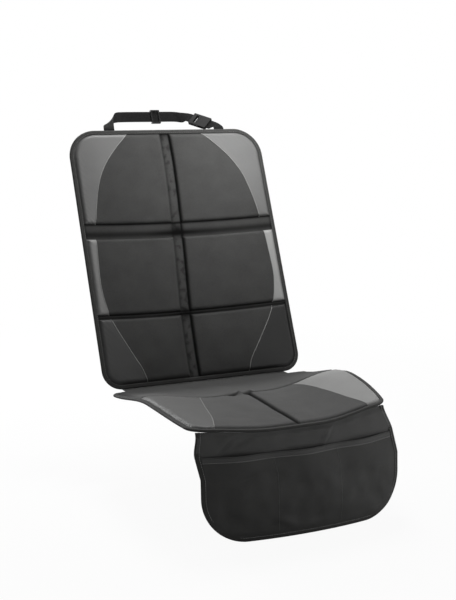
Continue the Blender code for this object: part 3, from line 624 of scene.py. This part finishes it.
def patch(name, place, left, right, low, high, top, bottom, look, nodes=(),
          pitch=CELL, fine_middle=False, shade=None):
    """Closed sheet over the area between two side lines and two levels of s."""
    wide = max(right(s) - left(s) for s in even(low, high, 8))
    grid = []
    for s in steps_between(low, high, pitch):
        x0, x1 = left(s), right(s)
        if fine_middle:
            middle = 2 * FINE_REACH
            count = ceil((wide / 2 - middle) / pitch)
            across = (even(x0, -middle, count)[:-1] + spread(-middle, middle, FINE_CELL)
                      + [middle] + even(x1, middle, count)[-2::-1])
        else:
            across = even(x0, x1, max(2, ceil(wide / pitch)))
        grid.append([(x, s) for x in across])
    upper = [[place(x, s, top(x, s)) for x, s in row] for row in grid]
    lower = [[place(x, s, bottom(x, s)) for x, s in row] for row in grid]
    points, faces, flat = slab(upper, lower, grid)
    # Painted shade of each point, when a shade is given
    shades = [shade(x, s) for x, s in flat] if shade else None
    return add_mesh(name, points, faces, flat, look, nodes, shades)


def swept(name, rings, look, closed, nodes=()):
    """Closed solid through rings of points; open sweeps get flat ends."""
    sides = len(rings[0])
    points = [p for ring in rings for p in ring]
    faces = []
    spans = len(rings) if closed else len(rings) - 1
    for i in range(spans):
        low = i * sides
        high = ((i + 1) % len(rings)) * sides
        for j in range(sides):
            k = (j + 1) % sides
            faces.append((low + j, low + k, high + k, high + j))
    if not closed:
        faces.append(tuple(reversed(range(sides))))
        last = (len(rings) - 1) * sides
        faces.append(tuple(range(last, last + sides)))
    run = 0.0
    flat = []
    for i, ring in enumerate(rings):
        if i:
            run += (ring[0] - rings[i - 1][0]).length
        around = 0.0
        for j, point in enumerate(ring):
            if j:
                around += (point - ring[j - 1]).length
            flat.append((around, run))
    return add_mesh(name, points, faces, flat, look, nodes)


def ellipse(centre, across, out, wide, high, sides):
    """Points round a centre, wide to the sides and high along out."""
    return [centre + across * (cos(a) * wide) + out * (sin(a) * high)
            for a in even(0.0, 2 * pi, sides)[:-1]]


# The rings of a stitch: place along it, then lift and size in radii of its thread
STITCH_RINGS = ((0.0, -0.8, 0.5), (0.14, 0.2, 0.9), (0.5, 0.6, 1.0), (0.86, 0.2, 0.9),
                (1.0, -0.8, 0.5))


def capsule(start, end, across, out, radius):
    """One stitch: a thread that comes up, lies along the cloth and goes down again."""
    return [ellipse(start + (end - start) * t + out * (lift * radius), across, out,
                    radius * size, radius * size, STITCH_SIDES)
            for t, lift, size in STITCH_RINGS]


def stitches(name, lines, surface, look, radius=THREAD):
    """Rows of stitches along flat lines, lying on a surface that places (x, s, lift)."""
    points, faces = [], []
    for line in lines:
        marks = [surface(x, s, 0.0) for x, s in line]
        runs = [0.0]
        for a, b in zip(marks, marks[1:]):
            runs.append(runs[-1] + (b - a).length)

        def at(run):
            i = 0
            while i < len(runs) - 2 and run > runs[i + 1]:
                i += 1
            t = (run - runs[i]) / max(1e-9, runs[i + 1] - runs[i])
            return [a + (b - a) * t for a, b in zip(line[i], line[i + 1])]

        for k in range(int(runs[-1] / STITCH_PITCH)):
            first, last = at(k * STITCH_PITCH), at(k * STITCH_PITCH + STITCH)
            start, end = surface(*first, 0.0), surface(*last, 0.0)
            out = (surface(*first, 0.001) - start).normalized()
            across = (end - start).cross(out).normalized()
            base = len(points)
            for ring in capsule(start, end, across, out, radius):
                points += ring
            end_ring = len(points) - STITCH_SIDES
            for low in range(base, end_ring, STITCH_SIDES):
                for j in range(STITCH_SIDES):
                    a, b = low + j, low + (j + 1) % STITCH_SIDES
                    faces.append((a, a + STITCH_SIDES, b + STITCH_SIDES, b))
            faces.append(tuple(range(base, base + STITCH_SIDES)))
            faces.append(tuple(reversed(range(end_ring, end_ring + STITCH_SIDES))))
    flat = [(p.x, p.z) for p in points]
    return add_mesh(name, points, faces, flat, look)


def tape_section(top):
    """Folded tape round an edge, as (inset, level) points with a rounded outer fold."""
    bend = top / 2
    depth = BINDING_FACE
    outer = [(bend - bend * cos(a), bend + bend * sin(a)) for a in even(pi / 2, -pi / 2, 8)]
    inner = [(bend - (bend - TAPE) * cos(a), bend + (bend - TAPE) * sin(a))
             for a in even(-pi / 2, pi / 2, 4)]
    return ([(depth, top - TAPE_LIP_DROP), (depth - TAPE_LIP, top + TAPE_LIP_RISE)] + outer
            + [(depth, 0.0), (depth, TAPE)] + inner + [(depth, top - TAPE)])


def edge_tape(name, panel, nodes):
    section = tape_section(BINDING_TOP)
    loops = [panel.loop(inset) for inset, _ in section]
    rings = []
    for spots in zip(*loops):
        puff = TAPE_PUFF * wave(*spots[0], 0.012, 11.0)
        rings.append([panel.place_flat(*spot, level + (puff if level > TAPE else 0.0))
                      for spot, (_, level) in zip(spots, section)])
    return swept(name, rings, EDGE, True, nodes)


def pad_foot(x, s):
    """Level of the padded cloth's underside, on the lining."""
    return CLOTH + GAP


def build_panel_cell(panel, prefix, part, seam, low, high, field, nodes, inset):
    """One row of the quilt: the padded middle field and an inset on each side of it."""
    def along_seam(sign, gap):
        return lambda s: sign * (seam(s) + gap)

    made = patch(prefix + "_quilt_" + part, panel.place, along_seam(-1, -GAP / 2),
                 along_seam(1, -GAP / 2), low, high, panel.face_top, pad_foot, field,
                 nodes, fine_middle=True, shade=panel.shade)
    row = part if panel is BACK else prefix
    for side, sign in (("left", -1), ("right", 1)):
        left, right = (along_seam(sign, GAP / 2), panel.side(sign))[::sign]
        made = patch(prefix + "_side_" + part + "_" + side, panel.place, left, right, low,
                     high, panel.face_top, pad_foot, INSETS[row + "_" + side],
                     [inset + side], pitch=INSET_CELL, shade=panel.shade)


def seam_lines(seam, low, high):
    """Both inset seams of one row of the quilt."""
    levels = even(low, high, ceil((high - low) / SEAM_PITCH))
    return [[(sign * seam(s), s) for s in levels] for sign in (-1, 1)]


def close(line):
    return line + line[:1]


def on_face(panel):
    return lambda x, s, lift: panel.place(x, s, panel.face_top(x, s) + lift)


def on_tape(panel):
    return lambda x, s, lift: panel.place_flat(x, s, BINDING_TOP + lift)


def piping(name, panel, lines):
    """The folded edge of each inset, which stands up a little along its seam."""
    surface = on_face(panel)
    for number, line in enumerate(lines):
        rings = []
        for i, (x, s) in enumerate(line):
            ahead = surface(*line[min(i + 1, len(line) - 1)], 0.0)
            behind = surface(*line[max(i - 1, 0)], 0.0)
            centre = surface(x, s, 0.0)
            out = (surface(x, s, 0.001) - centre).normalized()
            across = (ahead - behind).cross(out).normalized()
            rings.append(ellipse(centre, across, out, PIPE_RADIUS, 0.8 * PIPE_RADIUS, 8))
        swept(name + "_" + str(number), rings, PIPING, False)


def build_back():
    low_channel, high_channel = BACK_LOWER_CHANNEL, BACK_UPPER_CHANNEL
    cells = (("lower", BACK.start + SHEET_INSET, low_channel[0] - GAP / 2),
             ("middle", low_channel[1] + GAP / 2, high_channel[0] - GAP / 2),
             ("top", high_channel[1] + GAP / 2, BACK.end - SHEET_INSET))
    lines = []
    for part, low, high in cells:
        nodes = ["back_face_" + part, "back_foam_" + part + "_left",
                 "back_foam_" + part + "_right"]
        build_panel_cell(BACK, "back", part, back_seam, low, high, FIELD, nodes,
                         "back_inset_" + part + "_")
        lines += seam_lines(back_seam, max(low, BACK.start + EDGE_FLAT),
                            min(high, BACK.end - EDGE_FLAT))
    piping("back_seam", BACK, lines)
    for part, (low, high) in (("lower", low_channel), ("upper", high_channel)):
        patch("back_strip_" + part, BACK.place, BACK.side(-1), BACK.side(1),
                            low, high, BACK.face_top,
                            lambda x, s: BACK.face_top(x, s) - CLOTH, FIELD,
                            ["back_channel_" + part], pitch=STRIP_CELL, fine_middle=True,
                            shade=BACK.shade)
    lining = build_lining("back_lining", BACK, ["back_backing"])
    tape = edge_tape("back_edge_tape", BACK, ["back_binding"])
    stitch = stitches("back_edge_stitching", [close(BACK.loop(EDGE_ROW))],
                      on_tape(BACK), DARK_THREAD)


def build_lining(name, panel, nodes):
    """Plain lining cloth over the whole rear of a panel."""
    def level(x, s):
        step = smooth((panel.inside(x, s) - EDGE_FLAT) / LINING_STEP)
        swell = LINING_SWELL * step * (1 + wave(x, s, 0.03, 5.0))
        return BACKING_EDGE * (1.0 - step) + swell

    return patch(name, panel.place_flat, panel.side(-1), panel.side(1),
                 panel.start + SHEET_INSET, panel.end - SHEET_INSET,
                 lambda x, s: level(x, s) + CLOTH, level, LINING, nodes,
                 LINING_CELL)


def build_seat():
    rear = patch("seat_quilt_rear", SEAT.place, SEAT.side(-1), SEAT.side(1),
                 SEAT.start + SHEET_INSET, SEAT_CHANNEL - GAP / 2, SEAT.face_top, pad_foot,
                 SEAT_FIELD, ["seat_face_rear", "seat_foam_rear"],
                 fine_middle=True, shade=SEAT.shade)
    low, high = SEAT_CHANNEL + GAP / 2, SEAT.end - SHEET_INSET
    build_panel_cell(SEAT, "seat", "front", seat_seam, low, high, SEAT_FIELD,
                     ["seat_face_front", "seat_foam_front_left", "seat_foam_front_right"],
                     "seat_inset_")
    piping("seat_seam", SEAT, seam_lines(seat_seam, low, SEAT.end - EDGE_FLAT))
    lining = build_lining("seat_lining", SEAT, ["seat_backing"])
    tape = edge_tape("seat_edge_tape", SEAT, ["seat_binding"])
    stitch = stitches("seat_edge_stitching", [close(SEAT.loop(EDGE_ROW))],
                      on_tape(SEAT), DARK_THREAD)


def build_crease():
    reach = BACK_WIDTH / 2 - BACK_BOTTOM_RADIUS
    strip = patch("crease_strip", place_seat, lambda s: -reach, lambda s: reach, -BINDING_TOP,
                  SEAT_START - GAP, lambda x, s: NECK_TOP, lambda x, s: BACKING_EDGE, FIELD,
                  ["crease_cloth"])


# Front flap

def flap_front(x):
    return place_seat(x / (1.0 - SEAT_FRONT_TAPER), SEAT_END, 0.0).y


def seat_under(x, y):
    """Height of the seat panel's underside over a point of the ground plan."""
    s = SEAT_END
    for _ in range(8):
        t = ((s - SEAT_CHANNEL) / (SEAT_END - SEAT_CHANNEL)) ** 2
        flat = x / (1.0 - SEAT_FRONT_TAPER * t)
        s = SEAT_FRONT_ARC * t * (flat / (SEAT_WIDTH / 2)) ** 2 - y / cos(SEAT_PITCH)
    return place_seat(flat, s, 0.0).z


def flap_top(x):
    front = flap_front(x)
    return min(seat_under(x, front), seat_under(x, front + FLAP_BINDING_TOP)) - 0.0002


# How far the pocket swells, the room that folds need, and how low they may press
POCKET_SWELL = 0.006
FOLD_ROOM = 0.0030
FOLD_DIP = 0.0006

# Over what distance folds grow: from the sides, the bottom and the hem, and from both ends
FOLD_SIDE = 0.05
FOLD_FOOT = 0.03
FOLD_HEM = 0.06
FOLD_END = 0.010

# The same for the room under the pocket: sides, bottom and mouth
ROOM_SIDE = 0.03
ROOM_FOOT = 0.02
ROOM_MOUTH = 0.04

# Each soft fold: its height, its size and the seed of its noise
FLAP_WAVES = ((0.0055, 0.075, 3.0), (0.0026, 0.030, 9.0))

# How far creases run, and for each one: middle x and z, direction, width and depth
CREASE_REACH = 0.022
FLAP_CREASES = ((0.055, -0.002, 0.62, 0.78, 0.0030, -0.0048),
                (0.052, 0.000, 0.62, 0.78, 0.0070, 0.0042),
                (-0.150, 0.000, 0.80, 0.60, 0.0035, -0.0044),
                (-0.120, 0.006, 0.90, 0.44, 0.0040, -0.0038),
                (-0.120, -0.060, 0.95, 0.30, 0.0060, -0.0024),
                (0.020, -0.160, 0.97, 0.25, 0.0090, 0.0026),
                (-0.050, -0.150, 0.90, -0.44, 0.0080, 0.0024))

# Where the rows of stitches along the hem run
HEM_HIGH_ROW = POCKET_MOUTH - 0.0012
HEM_LOW_ROW = POCKET_MOUTH - POCKET_HEM + 0.0016


def flap_fold(x, z):
    """How far the hanging cloth stands off its plane: soft folds and a few creases."""
    edge = smooth((FLAP_WIDTH / 2 - abs(x)) / FOLD_SIDE)
    edge *= smooth((z - FLAP_BOTTOM) / FOLD_FOOT)
    calm = smooth(abs(z - POCKET_MOUTH + POCKET_HEM / 2) / FOLD_HEM)
    soft = sum(height * wave(x, z, size, seed) for height, size, seed in FLAP_WAVES)
    crease = 0.0
    for x0, z0, dx, dz, wide, deep in FLAP_CREASES:
        along = (x - x0) * dx + (z - z0) * dz
        across = (x - x0) * -dz + (z - z0) * dx
        crease += deep * bell(across / wide) * bell(along / CREASE_REACH)
    return edge * (soft * calm + crease)


def place_flap(x, level, n):
    """Place a flap point; above the pocket's mouth, level is stretched to the flap's top.

    The flap starts askew with the seat panel, swings back as it hangs, and leans forward.
    """
    hang = POCKET_MOUTH + FLAP_HEAD - level
    swing = min(1.0, hang / (POCKET_MOUTH + FLAP_HEAD - FLAP_PLUMB))
    across = x + SEAT_FRONT_SKEW + FLAP_RETURN * swing
    z = level
    if level > POCKET_MOUTH:
        z = POCKET_MOUTH + (flap_top(x) - POCKET_MOUTH) * (level - POCKET_MOUTH) / FLAP_HEAD
    return Vector((across, flap_front(x) + FLAP_BINDING_TOP - FLAP_LEAN * hang - n, z))


def flap_half(level, inset):
    """Half-width of the flap at a level."""
    if level > POCKET_MOUTH:
        share = smooth((level - POCKET_MOUTH) / FLAP_HEAD)
        return (FLAP_WIDTH - (FLAP_WIDTH - FLAP_TOP_WIDTH) * share) / 2 - inset
    drop = FLAP_BOTTOM + FLAP_RADIUS - level
    if drop <= 0:
        return FLAP_WIDTH / 2 - inset
    reach = FLAP_RADIUS - inset
    return FLAP_WIDTH / 2 - FLAP_RADIUS + max(0.0, reach ** 2 - min(drop, reach) ** 2) ** 0.5


def pocket_bulge(x, z):
    """How far the pocket cloth stands off, nil at the dividers, the sides and the bottom."""
    inner = FLAP_WIDTH / 2 - EDGE_FLAT - CLOTH
    local = min(1.0, abs(x) / inner) * POCKET_COUNT
    cell = (local + 1.0) % 2.0 - 1.0
    depth = (POCKET_MOUTH - z) / (POCKET_MOUTH - FLAP_BOTTOM) / POCKET_BULGE_DEPTH
    return POCKET_SWELL * cos(cell * pi / 2) ** 2 * (1.0 - smooth(depth))


def build_flap():
    top_level = POCKET_MOUTH + FLAP_HEAD

    def sheet(x, z):
        head = smooth((z - POCKET_MOUTH) / FOLD_END) * smooth((top_level - z) / FOLD_END)
        return FLAP_SHEET + max(0.0, flap_fold(x, z) + FOLD_ROOM) * head

    def pocket(x, z):
        room = FOLD_ROOM * smooth((FLAP_WIDTH / 2 - abs(x)) / ROOM_SIDE)
        room *= smooth((z - FLAP_BOTTOM) / ROOM_FOOT) * smooth((POCKET_MOUTH - z) / ROOM_MOUTH)
        return POCKET_SHEET + pocket_bulge(x, z) + max(-FOLD_DIP, flap_fold(x, z) + room)

    def hem(x, z):
        return pocket(x, z) + CLOTH + GAP / 2

    def add(name, low, high, inset, level, look, nodes, pitch):
        return patch(name, place_flap, lambda z: -flap_half(z, inset),
                     lambda z: flap_half(z, inset), low, high,
                     lambda x, z: level(x, z) + CLOTH, level, look, nodes, pitch)

    def on_cloth(level):
        return lambda x, z, lift: place_flap(x, z, level(x, z) + CLOTH + lift)

    bottom = FLAP_BOTTOM + SHEET_INSET
    flap = add("flap_panel", bottom, top_level, SHEET_INSET, sheet, FLAP_FACE,
               ["flap_sheet"], CELL)
    cloth_piece = add("flap_pocket", bottom, POCKET_MOUTH, SHEET_INSET, pocket, POCKET_FACE,
                      ["pocket_sheet"], INSET_CELL)
    band = add("pocket_hem_band", POCKET_MOUTH - POCKET_HEM, POCKET_MOUTH + 0.0006,
               EDGE_FLAT, hem, FLAP_FACE, ["pocket_hem"], HEM_CELL)
    section = tape_section(FLAP_BINDING_TOP)
    lines = [flap_loop(inset) for inset, _ in section]
    rings = [[place_flap(*spot, n) for spot, (_, n) in zip(spots, section)]
             for spots in zip(*lines)]
    tape = swept("flap_edge_tape", rings, EDGE, False, ["flap_binding"])

    sewn = stitches("flap_edge_stitching", [flap_loop(EDGE_ROW)],
                    lambda x, z, lift: place_flap(x, z, FLAP_BINDING_TOP + lift), PIPING,
                    HEAVY_THREAD)
    reach = FLAP_WIDTH / 2 - EDGE_FLAT
    across = even(-reach, reach, 120)
    rolled = [[(x, HEM_HIGH_ROW) for x in across]]
    hem_top = stitches("hem_top_stitching", rolled, on_cloth(hem), EDGE)
    sewn_down = [[(x, HEM_LOW_ROW) for x in across]]
    hem_sewn = stitches("hem_stitching", sewn_down, on_cloth(hem), PIPING,
                        HEAVY_THREAD)
    divider = (reach - CLOTH) / POCKET_COUNT
    levels = even(POCKET_MOUTH - POCKET_HEM, FLAP_BOTTOM + EDGE_FLAT, 60)
    dividers = [[(sign * divider, level) for level in levels] for sign in (-1, 1)]
    divider_sewn = stitches("divider_stitching", dividers, on_cloth(pocket), DARK_THREAD)


def flap_loop(inset):
    """The flap's outline from its right top corner, round the bottom, to its left one."""
    knee = FLAP_BOTTOM + FLAP_RADIUS
    reach = FLAP_WIDTH / 2 - FLAP_RADIUS
    curve = FLAP_RADIUS - inset
    right = [(flap_half(level, inset), level)
             for level in reversed(even(POCKET_MOUTH, POCKET_MOUTH + FLAP_HEAD, 12))]
    right += [(FLAP_WIDTH / 2 - inset, level) for level in even(POCKET_MOUTH, knee, 24)[1:]]
    right += [(reach + curve * cos(turn), knee - curve * sin(turn))
              for turn in even(0.0, pi / 2, 36)[1:]]
    middle = [(x, FLAP_BOTTOM + inset) for x in even(reach, -reach, 60)[1:-1]]
    return right + middle + [(-x, level) for x, level in reversed(right)]


# Strap at the back panel's top

def spline(stations, per_span):
    """Centres and width directions on a smooth curve through the stations."""
    result = []
    last = len(stations) - 1
    for i in range(last):
        rows = [stations[max(0, min(last, i + k))] for k in (-1, 0, 1, 2)]
        for step in range(per_span):
            t = step / per_span
            values = []
            for p0, p1, p2, p3 in zip(*rows):
                values.append(0.5 * (2 * p1 + (p2 - p0) * t
                                     + (2 * p0 - 5 * p1 + 4 * p2 - p3) * t * t
                                     + (3 * p1 - p0 - 3 * p2 + p3) * t ** 3))
            result.append((values[0], values[1].normalized()))
    result.append((stations[-1][0], stations[-1][1].normalized()))
    return result


# The webbing's ribs, how far they stand up, and how its edges thin out
RIBS = 12
RIB_RISE = 0.10
WEB_EDGE_LOSS = 0.75
WEB_EDGE_POWER = 12


def webbing(name, stations, nodes):
    """Flat webbing with thinner, rounded edges and fine ribs along its faces."""
    path = spline(stations, 14)
    rings = []
    for i, (centre, side) in enumerate(path):
        ahead = path[min(i + 1, len(path) - 1)][0] - path[max(i - 1, 0)][0]
        out = ahead.cross(side).normalized()
        ring = []
        for face in (-1, 1):
            for k in range(RIBS + 1):
                share = (k / RIBS * 2 - 1) * -face
                level = WEBBING / 2 * (1.0 + RIB_RISE * (k % 2))
                level *= 1.0 - WEB_EDGE_LOSS * abs(share) ** WEB_EDGE_POWER
                ring.append(centre + side * (share * WEBBING_WIDTH / 2) + out * (level * face))
        rings.append(ring)
    return swept(name, rings, WEB, False, nodes)


def place_strap(across, rise, depth):
    """Place a strap point by shares of its root's distance, of its lift and of its depth."""
    root = BACK_END + GAP
    edge = BINDING_TOP / 2
    return place_back(across * STRAP_ROOT, root + (STRAP_LEVEL - root) * rise,
                      edge - (STRAP_DEPTH + edge) * depth)


def build_strap():
    # Each station: its place across, its rise and depth as shares, and the way its width runs
    long_rows = (
        (-1.000, -0.12, 0.00, (1.0, 0.0, 0.0)),
        (-1.000, 0.10, 0.00, (1.0, 0.0, 0.0)),
        (-0.955, 0.36, 0.22, (1.0, 0.2, 0.0)),
        (-0.866, 0.64, 0.50, (0.8, 0.8, 0.0)),
        (-0.731, 0.88, 0.79, (0.2, 1.0, 0.0)),
        (-0.537, 1.00, 1.00, (0.0, 1.0, 0.0)),
        (0.000, 1.00, 1.00, (0.0, 1.0, 0.0)),
        (0.373, 1.00, 1.00, (0.0, 1.0, 0.0)),
        (0.522, 0.91, 0.89, (0.2, 1.0, 0.0)),
    )
    short_rows = ((1.000, 0.10, 0.00, (1.0, 0.0, 0.0)), (1.000, -0.12, 0.00, (1.0, 0.0, 0.0)))

    def resolve(rows):
        return [(place_strap(*row[:3]), place_back(*row[3]).normalized()) for row in rows]

    along = place_back(0.57, -0.55, 0.62).normalized()
    across = place_back(0.7, 0.7, 0.0).normalized()
    centre = place_strap(0.772, 0.545, 0.453)
    end = BUCKLE_LENGTH / 2 + GAP
    lead = end + BUCKLE_LEAD
    path = resolve(long_rows)
    path += [(centre - along * lead, across), (centre - along * end, across)]
    webbing("webbing_long", path, ["strap_long"])
    short = [(centre + along * end, across), (centre + along * lead, across)]
    webbing("webbing_short", short + resolve(short_rows), ["strap_short"])
    for node in ("buckle_socket", "buckle_tongue", "strap_slider"):
        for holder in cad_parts[node].material_slots:
            holder.material = BLACK


# Stage, light and camera

CAMERA_PLACE = (-0.9951, -2.2225, 0.6154)
AZIMUTH = radians(-25.23)
ELEVATION = radians(10.11)
LENS = 68.67
FLOOR_LEVEL = FLAP_BOTTOM - 0.002
FLOOR_SIDE = 30.0
WHITE = (1.0, 1.0, 1.0, 1.0)
WORLD_LIGHT = 0.08
FLOOR_FADE = (0.55, 1.7)
FLOOR_GLOW = (0.94, 1.0)

# Each lamp: name, place, target, size, power and spread in degrees
LAMPS = (("key", (0.26, -0.16, 0.78), (0.02, 0.24, 0.54), 0.30, 2.25, 135),
         ("top", (0.25, 0.45, 1.60), (0.0, -0.25, 0.02), 0.7, 20.0, 180),
         ("fill", (0.75, -1.15, 0.05), (0.0, -0.46, -0.10), 0.5, 3.2, 180),
         ("rear", (-0.45, 1.70, 0.85), (0.0, 0.10, 0.25), 0.9, 24.0, 180))


def build_stage():
    """Pale floor that keeps the shadow near the mat and runs out into the backdrop."""
    mesh = bpy.data.meshes.new("floor")
    corners = [(x * FLOOR_SIDE, y * FLOOR_SIDE, FLOOR_LEVEL)
               for x, y in ((-1, -1), (1, -1), (1, 1), (-1, 1))]
    mesh.from_pydata(corners, [], [(0, 1, 2, 3)])
    floor = add_object("floor", mesh)
    look, nodes, link, paint = new_material("floor_paint")
    fill(paint, Base_Color=(0.86, 0.86, 0.86, 1), Roughness=0.9, Specular_IOR_Level=0.1)
    place = nodes.new("ShaderNodeTexCoord")
    far = operator(nodes, "LENGTH", "ShaderNodeVectorMath")
    link(place.outputs["Object"], far.inputs[0])
    fade = fill(nodes.new("ShaderNodeMapRange"), From_Min=FLOOR_FADE[0],
                From_Max=FLOOR_FADE[1], To_Min=FLOOR_GLOW[0], To_Max=FLOOR_GLOW[1])
    fade.interpolation_type = "SMOOTHSTEP"
    link(far.outputs["Value"], fade.inputs["Value"])
    rays = nodes.new("ShaderNodeLightPath")
    seen = operator(nodes, "MULTIPLY")
    link(rays.outputs["Is Camera Ray"], seen.inputs[0])
    link(fade.outputs["Result"], seen.inputs[1])
    glow = fill(nodes.new("ShaderNodeEmission"), Color=WHITE)
    mix = nodes.new("ShaderNodeMixShader")
    link(seen.outputs["Value"], mix.inputs["Fac"])
    link(paint.outputs["BSDF"], mix.inputs[1])
    link(glow.outputs["Emission"], mix.inputs[2])
    link(mix.outputs["Shader"], nodes["Material Output"].inputs["Surface"])
    mesh.materials.append(look)


def build_world():
    """Soft even light, and a white backdrop for what the camera and mirrors see."""
    world = bpy.data.worlds.new("studio")
    bpy.context.scene.world = world
    world.use_nodes = True
    nodes = world.node_tree.nodes
    link = world.node_tree.links.new
    base = fill(nodes["Background"], Color=WHITE, Strength=WORLD_LIGHT)
    seen = fill(nodes.new("ShaderNodeBackground"), Color=WHITE)
    rays = nodes.new("ShaderNodeLightPath")
    source = rays.outputs["Is Camera Ray"]
    for ray in ("Is Glossy Ray", "Is Transmission Ray"):
        total = operator(nodes, "ADD")
        total.use_clamp = True
        link(rays.outputs[ray], total.inputs[0])
        link(source, total.inputs[1])
        source = total.outputs["Value"]
    mix = nodes.new("ShaderNodeMixShader")
    link(source, mix.inputs["Fac"])
    link(base.outputs["Background"], mix.inputs[1])
    link(seen.outputs["Background"], mix.inputs[2])
    link(mix.outputs["Shader"], nodes["World Output"].inputs["Surface"])


def area_light(name, place, target, size, power, spread):
    data = bpy.data.lights.new(name, "AREA")
    data.spread = radians(spread)
    data.shape = "DISK"
    data.size = size
    data.energy = power
    lamp = add_object(name, data)
    lamp.location = place
    aim = Vector(target) - Vector(place)
    lamp.rotation_euler = aim.to_track_quat("-Z", "Y").to_euler()


def build_camera():
    back = Vector((sin(AZIMUTH) * cos(ELEVATION), -cos(AZIMUTH) * cos(ELEVATION),
                   sin(ELEVATION)))
    data = bpy.data.cameras.new("camera")
    data.lens = LENS
    data.sensor_width = 36.0
    data.clip_end = 100.0
    camera = add_object("camera", data)
    right = Vector((cos(AZIMUTH), sin(AZIMUTH), 0.0))
    turn = Matrix((right, back.cross(right), back)).transposed()
    camera.matrix_world = Matrix.Translation(CAMERA_PLACE) @ turn.to_4x4()
    bpy.context.scene.camera = camera


bpy.context.scene.view_settings.view_transform = "Standard"
build_stage()
build_world()
for lamp in LAMPS:
    area_light(*lamp)
build_camera()
build_back()
build_seat()
build_crease()
build_flap()
build_strap()
